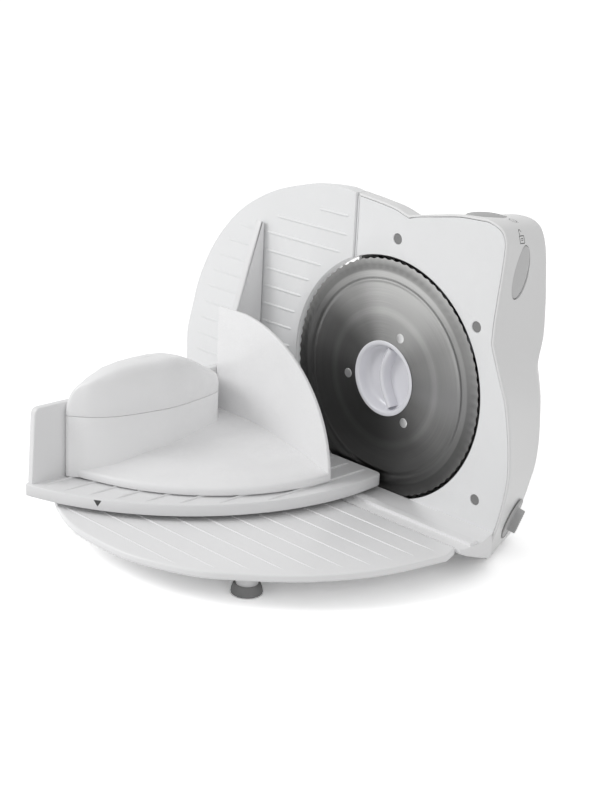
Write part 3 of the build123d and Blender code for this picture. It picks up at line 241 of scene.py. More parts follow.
plastics = {
    "housingWhite": {"colour": (0.80, 0.80, 0.80), "gloss": 0.34},
    "plateWhite": {"colour": (0.84, 0.845, 0.85), "gloss": 0.3},
    "trayWhite": {"colour": (0.86, 0.86, 0.865), "gloss": 0.33},
    "carriageWhite": {"colour": (0.82, 0.82, 0.825), "gloss": 0.34},
    # the food holder's own white plus painted light: set lighter than the other whites so that its top faces
    # read as brightly lit
    "holderWhiteWithPaintedLight": {"colour": (0.88, 0.88, 0.885), "gloss": 0.28},
    "lockLilac": {"colour": (0.77, 0.77, 0.81), "gloss": 0.22, "relief": 0.1, "coat": 0.2},
    "buttonGrey": {"colour": (0.42, 0.42, 0.42), "gloss": 0.45, "grain": 1800, "relief": 0.5},
    "sideGrey": {"colour": (0.60, 0.60, 0.60), "gloss": 0.45, "grain": 1800, "relief": 0.4},
    "plugGrey": {"colour": (0.22, 0.22, 0.22), "gloss": 0.5},
    "knobGrey": {"colour": (0.45, 0.45, 0.45), "gloss": 0.42},
    "footGrey": {"colour": (0.25, 0.25, 0.25), "gloss": 0.7, "grain": 1500, "relief": 0.6, "cloud": 0.1},
    "printGrey": {"colour": (0.06, 0.06, 0.06), "gloss": 0.6},
    "gearNylon": {"colour": (0.78, 0.76, 0.70), "gloss": 0.5, "cloud": 0.08},
    "switchBlack": {"colour": (0.03, 0.03, 0.03), "gloss": 0.5},
}
metals = {
    "motorSteel": {"colour": (0.38, 0.39, 0.40), "roughness": 0.42},
    "screwSteel": {"colour": (0.55, 0.55, 0.56), "roughness": 0.36},
    "rivetSteel": {"colour": (0.62, 0.62, 0.62), "roughness": 0.4, "stretch": (1, 6, 1)},
    "bushBrass": {"colour": (0.72, 0.52, 0.24), "roughness": 0.3},
}
finishes = {name: plastic(name, **look) for name, look in plastics.items()}
finishes.update({name: bareMetal(name, **look) for name, look in metals.items()})
finishes["bladeSteel"] = turnedSteelWithPaintedReflection()

# frame nodes that are shown as they are
carried = {
    "gearNylon": ["blade_gear", "dial_cam", "stop_carrier", "carriage_runner"],
    "screwSteel": ["plate_screws", "ledge_screws", "carrier_screws", "motor_screws", "guide_pins",
                   "motor_bracket", "hinge_pins", "blade_spindle", "motor_shaft", "worm"],
    "bushBrass": ["worm_bush"],
    "motorSteel": ["motor"],
    "switchBlack": ["top_switch", "side_switch"],
    "footGrey": ["cable_gland"],
}
for finishName, names in carried.items():
    for name in names:
        nodes[name].data.materials.clear()
        nodes[name].data.materials.append(finishes[finishName])
print("finishes made:", len(finishes))


# Mesh helpers
def shadeMesh(mesh, sharpAngle):
    mesh.shade_smooth()
    mesh.set_sharp_from_angle(angle=radians(sharpAngle))


def turnFacesOut(mesh, mergeDistance=0.0):
    work = bmesh.new()
    work.from_mesh(mesh)
    if mergeDistance:
        bmesh.ops.remove_doubles(work, verts=work.verts, dist=mergeDistance)
    bmesh.ops.recalc_face_normals(work, faces=work.faces)
    work.to_mesh(mesh)
    work.free()


def makePiece(name, points, faces, finish, smooth=35):
    mesh = bpy.data.meshes.new(name)
    mesh.from_pydata([at(*point) for point in points], [], faces)
    turnFacesOut(mesh, 2e-7)
    mesh.materials.append(finishes[finish])
    if smooth:
        shadeMesh(mesh, smooth)
    return addObject(name, mesh)


def settle(piece):
    # what the modifiers make becomes the plain mesh
    depsgraph = bpy.context.evaluated_depsgraph_get()
    mesh = bpy.data.meshes.new_from_object(piece.evaluated_get(depsgraph), depsgraph=depsgraph)
    piece.modifiers.clear()
    piece.data = mesh
    mesh.name = piece.name
    return piece


def soften(piece, width, segments=3, angle=30):
    bevel = piece.modifiers.new("soften", "BEVEL")
    bevel.width = width * 0.001
    bevel.segments = segments
    bevel.limit_method = "ANGLE"
    bevel.angle_limit = radians(angle)
    bevel.harden_normals = True
    piece.data.shade_smooth()
    return settle(piece)


def cut(piece, tools, smooth, operation="DIFFERENCE"):
    for tool in tools:
        step = piece.modifiers.new("cut", "BOOLEAN")
        step.operation = operation
        step.solver = "EXACT"
        step.object = tool
        settle(piece)
        bpy.data.objects.remove(tool)
    shadeMesh(piece.data, smooth)
    return piece


def done(piece, body, slotName, *replaced):
    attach(piece, body)
    if replaced:
        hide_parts(*replaced)
    return piece


def smoothRun(points, steps, corners=()):
    # curve through the points that turns sharply only at the named corners
    run = []
    last = len(points) - 1
    for index in range(last):
        start, end = points[index], points[index + 1]
        openStart = index == 0 or index in corners
        openEnd = index + 1 == last or index + 1 in corners
        before = [2 * a - b for a, b in zip(start, end)] if openStart else points[index - 1]
        after = [2 * b - a for a, b in zip(start, end)] if openEnd else points[index + 2]
        for step in range(steps):
            t = step / steps
            weights = (-t**3 + 2 * t**2 - t, 3 * t**3 - 5 * t**2 + 2, -3 * t**3 + 4 * t**2 + t, t**3 - t**2)
            run.append(tuple(sum(w * p[axis] for w, p in zip(weights, (before, start, end, after))) / 2
                             for axis in range(len(start))))
    run.append(tuple(points[last]))
    return run


def straightRun(start, end, steps):
    # leaves its end to the run that follows
    return [tuple(a + (b - a) * step / steps for a, b in zip(start, end)) for step in range(steps)]


def arcRun(centre, radius, start, end, steps):
    angles = [radians(start + (end - start) * step / steps) for step in range(steps + 1)]
    return [(centre[0] + radius * cos(angle), centre[1] + radius * sin(angle)) for angle in angles]


def softCorner(before, corner, after, steps=5):
    corners = []
    for step in range(steps + 1):
        t = step / steps
        corners.append(tuple((1 - t) ** 2 * b + 2 * t * (1 - t) * c + t * t * a
                             for b, c, a in zip(before, corner, after)))
    return corners


def lookUp(run, place):
    # second coordinate of a run at a place on its first, held level past both ends
    if place <= run[0][0]:
        return run[0][1]
    for (x0, z0), (x1, z1) in zip(run, run[1:]):
        if place <= x1:
            return z0 + (z1 - z0) * (place - x0) / max(1e-6, x1 - x0)
    return run[-1][1]


def insetLoop(points, amount):
    # closed outline moved inward, or outward for a negative amount
    leastSlant = 0.35
    count = len(points)
    area = sum(points[i - 1][0] * points[i][1] - points[i][0] * points[i - 1][1] for i in range(count))
    side = 1 if area > 0 else -1
    moved = []
    for index, point in enumerate(points):
        here = Vector(point)
        first = (here - Vector(points[index - 1])).normalized()
        second = (Vector(points[(index + 1) % count]) - here).normalized()
        normal = Vector((-first.y - second.y, first.x + second.x)) * side
        if normal.length < 1e-9:
            normal = Vector((-first.y, first.x)) * side
        normal.normalize()
        slant = max(leastSlant, normal.dot(Vector((-first.y, first.x)) * side))
        moved.append(tuple(here + normal * (amount / slant)))
    return moved


def onView(view, a, b, depth):
    if view == "front":
        return (a, depth, b)
    if view == "plan":
        return (a, b, depth)
    return (depth, a, b)


def ringFaces(levels, count, start=0):
    # faces between rings of as many points each, and one over both ends
    faces = []
    for level in range(levels - 1):
        low = start + level * count
        for index in range(count):
            after = (index + 1) % count
            faces.append((low + index, low + after, low + count + after, low + count + index))
    last = start + (levels - 1) * count
    return faces + [tuple(range(start, start + count)), tuple(range(last, last + count))]


def ringForm(name, rings, finish, smooth=35):
    points = [point for ring in rings for point in ring]
    return makePiece(name, points, ringFaces(len(rings), len(rings[0])), finish, smooth)


def moulding(name, view, outline, profile, finish, smooth=50):
    # closed outline carried through (depth, inset) steps
    rings = []
    for depth, inward in profile:
        loop = insetLoop(outline, inward) if inward else outline
        rings.append([onView(view, a, b, depth) for a, b in loop])
    return ringForm(name, rings, finish, smooth)


def roundedProfile(low, high, edge, steps=4):
    # slab from one depth to another with both edges rounded
    waxing = [edge * (1 - cos(radians(90 * step / steps))) for step in range(steps + 1)]
    waning = [edge * (1 - sin(radians(90 * step / steps))) for step in range(steps + 1)]
    front = [(low + depth, inward) for depth, inward in zip(waxing, waning)]
    return front + [(high - depth, inward) for depth, inward in zip(waning, waxing)]


def box(name, low, high, finish, edge=0.5):
    outline = [(low[0], low[1]), (high[0], low[1]), (high[0], high[1]), (low[0], high[1])]
    piece = moulding(name, "plan", outline, [(low[2], 0), (high[2], 0)], finish, 0)
    return soften(piece, edge) if edge else piece


def turned(name, centre, axis, profile, finish, sides=64, smooth=35):
    # profile of (reach, distance along the axis) turned about it
    along = Vector(axis).normalized()
    across = along.orthogonal().normalized()
    third = along.cross(across)
    rings = []
    for reach, distance in profile:
        ring = []
        for side in range(sides):
            angle = 2 * pi * side / sides
            offset = across * (cos(angle) * reach) + third * (sin(angle) * reach) + along * distance
            ring.append(tuple(Vector(centre) + offset))
        rings.append(ring)
    return ringForm(name, rings, finish, smooth)


def copyOf(name, node, finish, width, segments, angle):
    # a merged copy of a frame node with softened edges
    mergeDistance, flatAngle = 1e-6, 0.8
    mesh = nodes[node].data.copy()
    mesh.materials.clear()
    work = bmesh.new()
    work.from_mesh(mesh)
    bmesh.ops.remove_doubles(work, verts=work.verts, dist=mergeDistance)
    bmesh.ops.dissolve_limit(work, angle_limit=radians(flatAngle), verts=work.verts, edges=work.edges)
    work.to_mesh(mesh)
    work.free()
    mesh.materials.append(finishes[finish])
    for edge in mesh.edges:
        edge.use_edge_sharp = False
    mesh.shade_smooth()
    return soften(addObject(name, mesh), width, segments, angle)


# Geometry Nodes: ribs along short lines
def makeRibTree():
    runOut, endSize, spans, sides = 0.03, 0.15, 24, 12
    tree = bpy.data.node_groups.new("mouldedRibs", "GeometryNodeTree")
    addSockets(tree, "INPUT", [("Geometry", "Geometry"), ("Width", "Float"), ("Height", "Float"),
                               ("Up", "Vector"), ("Finish", "Material")])
    addSockets(tree, "OUTPUT", [("Geometry", "Geometry")])
    given = addNode(tree, "NodeGroupInput").outputs
    line = addNode(tree, "GeometryNodeMeshToCurve", {"Mesh": given["Geometry"]})
    fine = addNode(tree, "GeometryNodeResampleCurve", {"Curve": line.outputs["Curve"], "Count": spans})
    upright = addNode(tree, "GeometryNodeSetCurveNormal",
                      {"Curve": fine.outputs["Curve"], "Normal": given["Up"]}, mode="FREE")
    # a rib swells from both ends to its full size
    along = addNode(tree, "GeometryNodeSplineParameter").outputs["Factor"]
    ease = addNode(tree, "ShaderNodeMapRange", {
        "Value": mathNode(tree, "PINGPONG", along, 0.5), "From Max": runOut,
        "To Min": endSize}, interpolation_type="SMOOTHSTEP").outputs["Result"]
    ring = addNode(tree, "GeometryNodeCurvePrimitiveCircle", {"Resolution": sides, "Radius": 1})
    halfWidth = mathNode(tree, "MULTIPLY", given["Width"], 0.5)
    flat = addNode(tree, "ShaderNodeCombineXYZ", {"X": given["Height"], "Y": halfWidth, "Z": 1})
    shape = addNode(tree, "GeometryNodeTransform", {
        "Geometry": ring.outputs["Curve"], "Scale": flat.outputs["Vector"]})
    tube = addNode(tree, "GeometryNodeCurveToMesh", {
        "Curve": upright.outputs["Curve"], "Profile Curve": shape.outputs["Geometry"],
        "Scale": ease, "Fill Caps": True})
    paint = addNode(tree, "GeometryNodeSetMaterial", {
        "Geometry": tube.outputs["Mesh"], "Material": given["Finish"]})
    addNode(tree, "NodeGroupOutput", {"Geometry": paint.outputs["Geometry"]})
    return tree


ribTree = makeRibTree()


def ribs(name, lines, up, width, height, finish):
    # lines are pairs of ends; each becomes a low rounded rib standing along the up direction
    mesh = bpy.data.meshes.new(name)
    points = [at(*end) for line in lines for end in line]
    mesh.from_pydata(points, [(2 * i, 2 * i + 1) for i in range(len(lines))], [])
    piece = addObject(name, mesh)
    modifier = piece.modifiers.new("ribs", "NODES")
    modifier.node_group = ribTree
    values = {"Width": width * 0.001, "Height": height * 0.001, "Up": up, "Finish": finishes[finish]}
    for socket in ribTree.interface.items_tree:
        if socket.in_out == "INPUT" and socket.name in values:
            modifier[socket.identifier] = values[socket.name]
    settle(piece)
    piece.data.shade_smooth()
    return piece


# Outline of the front plate, from the seam over both lobes to the foot
plateShape = {
    "right": [(-35.0, 123.2), (-27.6, 122.6), (-14, 121.4), (0, 119.6), (12.7, 116), (23, 118.7), (40, 122),
              (57, 125), (74, 126), (82, 126), (91, 123), (95, 118), (96, 111), (95, 95), (93.4, 78),
              (92, 61), (91.8, 47), (96.5, 35), (102, 22), (107, 10), (110.7, -6), (113, -20), (114.5, -37),
              (113.6, -51), (110.4, -69), (105.5, -87), (101.8, -102.3)],
    "corners": (4, 16),
    "opening": 87.0,
    "openingFoot": -68,
    "openingLeft": -54.3,
    "left": -108,
    "foot": -100.3,
    "thickness": 2.5,
    "edge": 0.45,
}
plateRun = smoothRun(plateShape["right"], 6, plateShape["corners"])

# Housing
housing = {
    "rear": [(-34.6, 60), (-27, 62), (-14, 66), (0, 72), (12.7, 84), (22, 100), (33, 112), (48, 119),
             (62, 122.6), (74, 122.9), (82, 120.6), (87.2, 115.5), (91, 104), (93.5, 84), (95.1, 66),
             (95.8, 45), (93.4, 24.6), (95.6, 13), (98.4, 1), (99.8, -12), (100.6, -24), (100.6, -36),
             (99.4, -48), (97, -58), (94, -70), (90, -82), (86, -99.9)],
    "frontLeft": [(-110, -102.3), (-110, -70), (-51, -70), (-50, -40), (-54, 0), (-50, 40), (-34.6, 79)],
    "rearLeft": [(-107, -99.9), (-107, -70), (-50.4, -72), (-46, -40), (-50, 0), (-44, 36), (-34.6, 56)],
    "leftSteps": [14, 4, 6, 4, 4, 4, 4, 6],
    "steps": 6,
    "lobeEnd": 5,
    "seam": (-34.6, 125.4),
    "foot": -102.3,
    "rim": 2.2,
    "shoulder": 8.5,
    "rearY": 50.0,
    "depth": 63.0,
    "shrink": 0.176,
    "bulge": 1.2,
    "edge": 1.3,
    "outerDepths": [*range(3, 51, 3), 50],
    # inner wall and rim: y, the y or the share that its outline is taken at, and the inset
    "innerBack": (54, 0.957, 3.5),
    "inner": [(48, 48, 3.0), (30, 30, 3.0), (14, 14, 3.0), (8, 8, 3.0), (2.5, 2.5, 1.75), (0.15, 0, 1.75),
              (0, 0, 1.55)],
}
# the inner wall stays clear of the folded corner at the top left
fold = {"left": -30.5, "drop": 4, "above": 30, "leftOf": -20, "behind": 20}


def housingLoops():
    steps = housing["steps"]
    grown = insetLoop(plateShape["right"] + housing["frontLeft"], -housing["rim"])
    grown = grown[: len(plateShape["right"])]
    front = [(max(x, housing["seam"][0]), max(z, housing["foot"])) for x, z in grown]
    front[0] = housing["seam"]
    frontRun = smoothRun(front, steps, plateShape["corners"])
    rearRun = smoothRun(housing["rear"], steps)
    for left, run in ((housing["frontLeft"], frontRun), (housing["rearLeft"], rearRun)):
        stops = [run[-1]] + left + [run[0]]
        del run[-1]
        for start, end, many in zip(stops, stops[1:], housing["leftSteps"]):
            run.extend(straightRun(start, end, many))
    # the lobe by the seam keeps its front form as far as the shoulder, the rest goes straight back
    lobe = [max(0.0, min(1.0, housing["lobeEnd"] - index / steps)) for index in range(len(frontRun))]
    for step in range(steps):
        lobe[step - steps] = step / steps
    return frontRun, rearRun, lobe


frontLoop, rearLoop, lobeShare = housingLoops()


def housingLoop(y):
    straight = y / housing["rearY"]
    late = max(0.0, (y - housing["shoulder"]) / (housing["rearY"] - housing["shoulder"]))
    late = late * late * (3 - 2 * late)
    loop = []
    for (fx, fz), (rx, rz), share in zip(frontLoop, rearLoop, lobeShare):
        blend = straight + (late - straight) * share
        loop.append((fx + (rx - fx) * blend, fz + (rz - fz) * blend))
    return loop


def shrunkRear(share):
    control = housing["rear"] + housing["rearLeft"]
    midX = sum(x for x, z in control) / len(control)
    midZ = sum(z for x, z in control) / len(control)
    return [(midX + (x - midX) * share, midZ + (z - midZ) * share) for x, z in rearLoop]


def innerOutline(y, loop, inward):
    outline = []
    for x, z in insetLoop(loop, inward):
        if y > fold["behind"] and z > fold["above"] and x < fold["leftOf"]:
            x, z = max(x, fold["left"]), min(z, loop[0][1] - fold["drop"])
        outline.append((x, z))
    return y, outline


def makeHousing():
    edge = housing["edge"]
    backY, share, inward = housing["innerBack"]
    outlines = [innerOutline(backY, shrunkRear(share), inward)]
    for y, outlineY, inward in housing["inner"]:
        outlines.append(innerOutline(y, housingLoop(outlineY), inward))
    for step in range(5):
        angle = radians(90 * step / 4)
        y = edge * (1 - cos(angle))
        outlines.append((y, insetLoop(housingLoop(y), edge * (1 - sin(angle)))))
    for y in housing["outerDepths"]:
        outlines.append((y, housingLoop(y)))
    span = housing["depth"] - housing["rearY"]
    for step in range(1, 11):
        share = 1 - housing["shrink"] * (step / 10) ** housing["bulge"]
        outlines.append((housing["rearY"] + span * step / 10, shrunkRear(share)))
    rings = [[(x, y, z) for x, z in loop] for y, loop in outlines]
    return ringForm("rear_housing_shell", rings, "housingWhite", 38)


housingShell = makeHousing()
print("housing skinned")

# Buttons, their wells and the dial's pocket
sideButton = {
    "y": 20.2, "z": 93.4, "long": 17.6, "short": 8.0, "tilt": 14.0, "gap": 0.55,
    "well": [(84, 0), (110, 0)],
    "profile": [(88.4, 0), (94.0, 0), (94.55, 0.15), (94.85, 0.6), (94.96, 1.6), (95.0, 3.4)],
}
topButton = {
    "x": 63.0, "y": 19.0, "wellFoot": 112, "wellRadius": 14.0, "wellTall": 30,
    "profile": [(13.5, 115.4), (13.5, 124.4), (13.3, 124.9), (12.6, 125.2), (9.5, 125.85), (6, 126.25),
                (2.5, 126.4), (0.4, 126.4)],
}
dial = {"place": (98, 33, -82), "axis": (0.87, 0.35, -0.33), "pocket": 15.8, "pocketEnds": (-1.8, 30)}
bladeWell = {"radius": 87.5, "ends": (-2, 4.5)}
gland = {"place": (30, 50, -56), "radius": 5.05, "ends": (0, 20)}


def ellipseLoop(grow):
    lean = radians(90 - sideButton["tilt"])
    sides = 72
    loop = []
    for side in range(sides):
        angle = 2 * pi * side / sides
        a, b = (sideButton["long"] + grow) * cos(angle), (sideButton["short"] + grow) * sin(angle)
        loop.append((sideButton["y"] + a * cos(lean) - b * sin(lean),
                     sideButton["z"] + a * sin(lean) + b * cos(lean)))
    return loop


roundWells = [
    ("topWell", (topButton["x"], topButton["y"], topButton["wellFoot"]), (0, 0, 1),
     topButton["wellRadius"], (0, topButton["wellTall"]), 64),
    ("dialWell", dial["place"], dial["axis"], dial["pocket"], dial["pocketEnds"], 64),
    ("bladeWell", (0, 0, 0), (0, 1, 0), bladeWell["radius"], bladeWell["ends"], 128),
    ("glandWell", gland["place"], (0, 1, 0), gland["radius"], gland["ends"], 48),
]
wells = [moulding("sideWell", "side", ellipseLoop(sideButton["gap"]), sideButton["well"], "housingWhite")]
for name, place, axis, radius, ends, sides in roundWells:
    wells.append(turned(name, place, axis, [(radius, end) for end in ends], "housingWhite", sides))
cut(housingShell, wells, 38)
done(housingShell, "housing", "white_plastic", "rear_housing")
print("wells cut")

skinTree = BVHTree.FromObject(housingShell, bpy.context.evaluated_depsgraph_get())

sideCap = moulding("side_button_cap", "side", ellipseLoop(0), sideButton["profile"], "sideGrey")
done(sideCap, "button_side", "grey_plastic", "side_button")

topCap = turned("top_button_cap", (topButton["x"], topButton["y"], 0), (0, 0, 1), topButton["profile"],
                "buttonGrey", 96)
done(topCap, "button_top", "grey_plastic", "top_button")

dialCopy = copyOf("thickness_dial_knob", "thickness_dial", "knobGrey", 0.7, 3, 25)
done(dialCopy, "dial", "grey_plastic", "thickness_dial")


# Front plate and the plugs over its screws
def makePlate():
    reach, foot, left = plateShape["opening"], plateShape["foot"], plateShape["left"]
    openingFoot, edge = plateShape["openingFoot"], plateShape["edge"]
    run = [(x, max(z, foot)) for x, z in plateRun]
    outline = run[:-1] + straightRun(run[-1], (left, foot), 12)
    outline += straightRun((left, foot), (left, openingFoot), 3)
    outline += straightRun((left, openingFoot), (plateShape["openingLeft"], openingFoot), 6)
    start = 180 + degrees(asin(-openingFoot / reach))
    end = 360 + degrees(acos(run[0][0] / reach))
    arc = arcRun((0, 0), reach, start, end, 110)
    outline += arc + straightRun(arc[-1], run[0], 4)[1:]
    profile = [(edge * (1 - cos(radians(a))), edge * (1 - sin(radians(a)))) for a in (0, 30, 60, 90)]
    profile.append((plateShape["thickness"], 0))
    return moulding("front_plate_sheet", "front", outline, profile, "plateWhite", 40)


plug = {
    "places": [(4.122, 100.296), (78.318, 55.944), (89.1955, -62.748)],
    "hole": [(4.2, -1), (4.0, 0.1), (3.75, 0.35), (3.65, 4)],
    "profile": [(3.6, 1.4), (3.6, 0.7), (3.4, 0.5), (2.6, 0.5), (1.3, 0.56), (0.2, 0.58)],
    "sides": 36,
}
plateSheet = makePlate()
plugHoles = [turned("plugHole", (x, 0, z), (0, 1, 0), plug["hole"], "plateWhite", 40)
             for x, z in plug["places"]]
cut(plateSheet, plugHoles, 40)
done(plateSheet, "housing", "white_plastic", "front_plate")


def makePlugs():
    points, faces = [], []
    angles = [2 * pi * side / plug["sides"] for side in range(plug["sides"])]
    for x, z in plug["places"]:
        faces += ringFaces(len(plug["profile"]), plug["sides"], len(points))
        for reach, y in plug["profile"]:
            points += [(x + reach * cos(angle), y, z + reach * sin(angle)) for angle in angles]
    return makePiece("plate_plug_caps", points, faces, "plugGrey")


done(makePlugs(), "housing", "grey_plastic", "plate_plugs")
print("front plate done")

# Stop plate with its ribs
stopShape = {
    "edge": [(-35.2, 125.4), (-47.6, 126.6), (-71.3, 124.6), (-91.2, 120.9), (-117, 112.4), (-142.8, 98.7),
             (-163.6, 81.6), (-182.4, 58.5), (-196.3, 32.2), (-203.2, 10.1), (-209.7, -16.1), (-209.3, -38.3),
             (-206.6, -54.6), (-202.4, -66)],
    "opening": 87.0,
    "face": -1.8,
    # the face's rounded edge, the outer flange and its lip, and the hollow back
    "profile": [(-1.8, 0.5), (-1.74, 0.25), (-1.55, 0.06), (-1.3, 0), (8.6, 0), (9.0, 0.4), (9.0, 2.0),
                (8.6, 2.4), (3.0, 2.4)],
    "left": -209.6,
    "ribs": 13,
    "ribTop": 107.9,
    "ribPitch": 13.45,
    "ribArc": 93.5,
    "ribGap": 11,
    "ribClear": -124,
    "highRibs": [(-70, -41), (-114, -41)],
}
stopEdge = smoothRun(stopShape["edge"], 6)
stopArc = arcRun((0, 0), stopShape["opening"], 180 + degrees(asin(-stopEdge[-1][1] / stopShape["opening"])),
                 degrees(acos(stopEdge[0][0] / stopShape["opening"])), 72)
stopEdge = [(max(x, stopShape["left"]), z) for x, z in stopEdge]
stopLoop = stopEdge + straightRun(stopEdge[-1], stopArc[0], 14)[1:] + stopArc
stopLoop += straightRun(stopArc[-1], stopEdge[0], 6)[1:]
stopPiece = moulding("stop_plate_panel", "front", stopLoop, stopShape["profile"], "plateWhite", 40)
done(stopPiece, "stop", "white_plastic", "stop_plate")


def stopRibLines():
    # the two highest ribs are short, and the far left part of each is fainter
    full, faint = [], []
    face = stopShape["face"]
    edgeByDrop = [(-z, x) for x, z in stopEdge]
    for index in range(stopShape["ribs"]):
        height = stopShape["ribTop"] - stopShape["ribPitch"] * index
        left = lookUp(edgeByDrop, -height) + stopShape["ribGap"]
        if index < len(stopShape["highRibs"]):
            shortest, right = stopShape["highRibs"][index]
            left = max(left, shortest)
        else:
            right = -sqrt(stopShape["ribArc"] ** 2 - height**2)
        middle = max(left, stopShape["ribClear"])
        full.append(((middle, face, height), (right, face, height)))
        if left < middle:
            faint.append(((left, face, height), (middle, face, height)))
    return full, faint


fullLines, faintLines = stopRibLines()
for name, lines, height in [("stop_plate_ribs", fullLines, 0.7),
                            ("stop_plate_faint_ribs", faintLines, 0.2)]:
    done(ribs(name, lines, (0, -1, 0), 2.0, height, "plateWhite"), "stop", "white_plastic")
print("stop plate done")

# Blade with scallops, ground edge, groove and a hole in its middle
blade = {
    "radius": 85.0, "scallops": 78, "steps": 10, "front": -0.3, "back": 0.9, "hole": 25.0,
    "biteOut": 4.2, "bite": 5.0, "biteHalf": 0.06,
    "toothed": 0.93, "sharp": 0.95, "grind": 0.05, "grindHalf": 0.42, "thinnest": 1.08,
    "backStations": (0.9, 1.0),
    # share of the radius, then how far it lies behind the front face
    "stations": [(1.0, 0.95), (0.985, 0.86), (0.965, 0.72), (0.945, 0.5), (0.925, 0.26), (0.905, 0.04),
                 (0.896, 0.0), (0.85, 0.0), (0.838, 0.03), (0.83, 0.28), (0.82, 0.35), (0.81, 0.28),
                 (0.802, 0.03), (0.79, 0.0), (0.7, 0.0), (0.6, 0.0), (0.5, 0.0), (0.4, 0.0)],
}


def scallopEdge(step):
    # angle, place within its scallop from -0.5 to 0.5, and reach of the blade's edge there
    pitch = 2 * pi / blade["scallops"]
    angle = 2 * pi * step / (blade["scallops"] * blade["steps"])
    phase = (angle / pitch + 0.5) % 1 - 0.5
    off = phase * pitch
    centre = blade["radius"] + blade["biteOut"]
    bite = blade["bite"] ** 2 - (centre * sin(off)) ** 2
    if bite <= 0 or abs(off) >= blade["biteHalf"]:
        return angle, phase, blade["radius"]
    return angle, phase, min(centre * cos(off) - sqrt(bite), blade["radius"])


def makeBlade():
    count = blade["scallops"] * blade["steps"]
    edges = [scallopEdge(step) for step in range(count)]
    hole = blade["hole"] / blade["radius"]
    rings = [(share, dip, blade["front"]) for share, dip in blade["stations"] + [(hole, 0.0)]]
    rings += [(share, 0.0, blade["back"]) for share in (hole, *blade["backStations"])]
    points, turns = [], []
    for share, dip, side in rings:
        for angle, phase, edge in edges:
            reach = blade["radius"] * share
            grind = 0.0
            if share > blade["toothed"]:
                reach = edge - (blade["radius"] - reach)
                if side == blade["front"]:
                    grind = blade["grind"] * max(0.0, 1 - (phase / blade["grindHalf"]) ** 2)
                    grind *= 1 if share > blade["sharp"] else 0.5
            depth = side + min(blade["thinnest"], dip + grind)
            points.append((reach * cos(angle), depth, reach * sin(angle)))
            turns.append((angle, reach))
    faces = []
    for level in range(len(rings)):
        below = (level + 1) % len(rings)
        for step in range(count):
            after = (step + 1) % count
            faces.append((level * count + step, level * count + after,
                          below * count + after, below * count + step))
    mesh = bpy.data.meshes.new("blade_disc")
    mesh.from_pydata([at(*point) for point in points], [], faces)
    layer = mesh.uv_layers.new(name="turn")
    for polygon in mesh.polygons:
        angles = [turns[vertex][0] for vertex in polygon.vertices]
        wrap = max(angles) - min(angles) > pi
        for loop, vertex, angle in zip(polygon.loop_indices, polygon.vertices, angles):
            full = angle + 2 * pi if wrap and angle < pi else angle
            layer.data[loop].uv = (full / (2 * pi), turns[vertex][1] * 0.001)
    turnFacesOut(mesh)
    mesh.materials.append(finishes["bladeSteel"])
    shadeMesh(mesh, 28)
    return addObject("blade_disc", mesh)


done(makeBlade(), "blade_wheel", "blade_steel", "blade")

rivetParts = copyOf("blade_rivet_heads", "blade_rivets", "rivetSteel", 0.22, 3, 40)
done(rivetParts, "blade_wheel", "rivet_steel", "blade_rivets")

# Lock in the blade's middle: bowl, boss and the bar for the fingers
lock = {
    "bowl": [(0.3, 9.0), (24.5, 9.0), (24.5, -0.4), (26.7, -0.4), (27.0, -0.6), (26.95, -0.85), (26.6, -1.1),
             (26.0, -1.2), (24.9, -1.2), (24.3, -1.05), (23.8, -0.6), (23.3, 0.4), (22.9, 2.5), (22.3, 4.8),
             (21.0, 6.3), (19.2, 6.95), (16, 7.0), (0.3, 7.0)],
    "boss": [(3.9, 8.5), (5.8, 8.5), (5.8, 12.6), (5.4, 13.0), (4.2, 13.0), (3.9, 12.7)],
    "barLine": [(4.8, 22.0), (0.6, 13.8), (-2.2, 5.9), (-2.0, -1.2), (0.4, -8.8), (4.4, -15.9), (6.5, -20.0)],
    "barSection": [(-2.6, 7.3), (-2.1, 4.0), (-1.8, 1.2), (-1.4, -0.1), (-0.8, -0.65), (0, -0.8), (0.9, -0.6),
                   (1.9, 0.1), (3.2, 1.8), (5.2, 4.4), (7.6, 7.3)],
    "barReach": 23.2,
}
lockBowl = turned("blade_lock_bowl", (0, 0, 0), (0, 1, 0), lock["bowl"], "lockLilac", 96)
lockBoss = turned("blade_lock_boss", (0, 0, 0), (0, 1, 0), lock["boss"], "lockLilac", 48)


def wayAlong(line, index):
    before, after = line[max(0, index - 1)], line[min(len(line) - 1, index + 1)]
    return Vector((after[0] - before[0], after[1] - before[1])).normalized()


def makeBar():
    line = smoothRun(lock["barLine"], 9)
    limit = lock["barReach"]
    rings = []
    for index, (x, z) in enumerate(line):
        way = wayAlong(line, index)
        ring = []
        for across, y in lock["barSection"]:
            px, pz = x + way.y * across, z - way.x * across
            reach = hypot(px, pz)
            if reach > limit:
                px, pz = px * limit / reach, pz * limit / reach
            ring.append((px, y, pz))
        rings.append(ring)
    return ringForm("blade_lock_bar", rings, "lockLilac", 45)


for piece in (lockBowl, lockBoss, makeBar()):
    done(piece, "lock", "lock_plastic", "blade_lock")
print("blade and lock done")

# Ledge in front of the housing
ledgePiece = copyOf("ledge_shelf", "ledge", "trayWhite", 0.6, 3, 30)
done(ledgePiece, "housing", "white_plastic", "ledge")

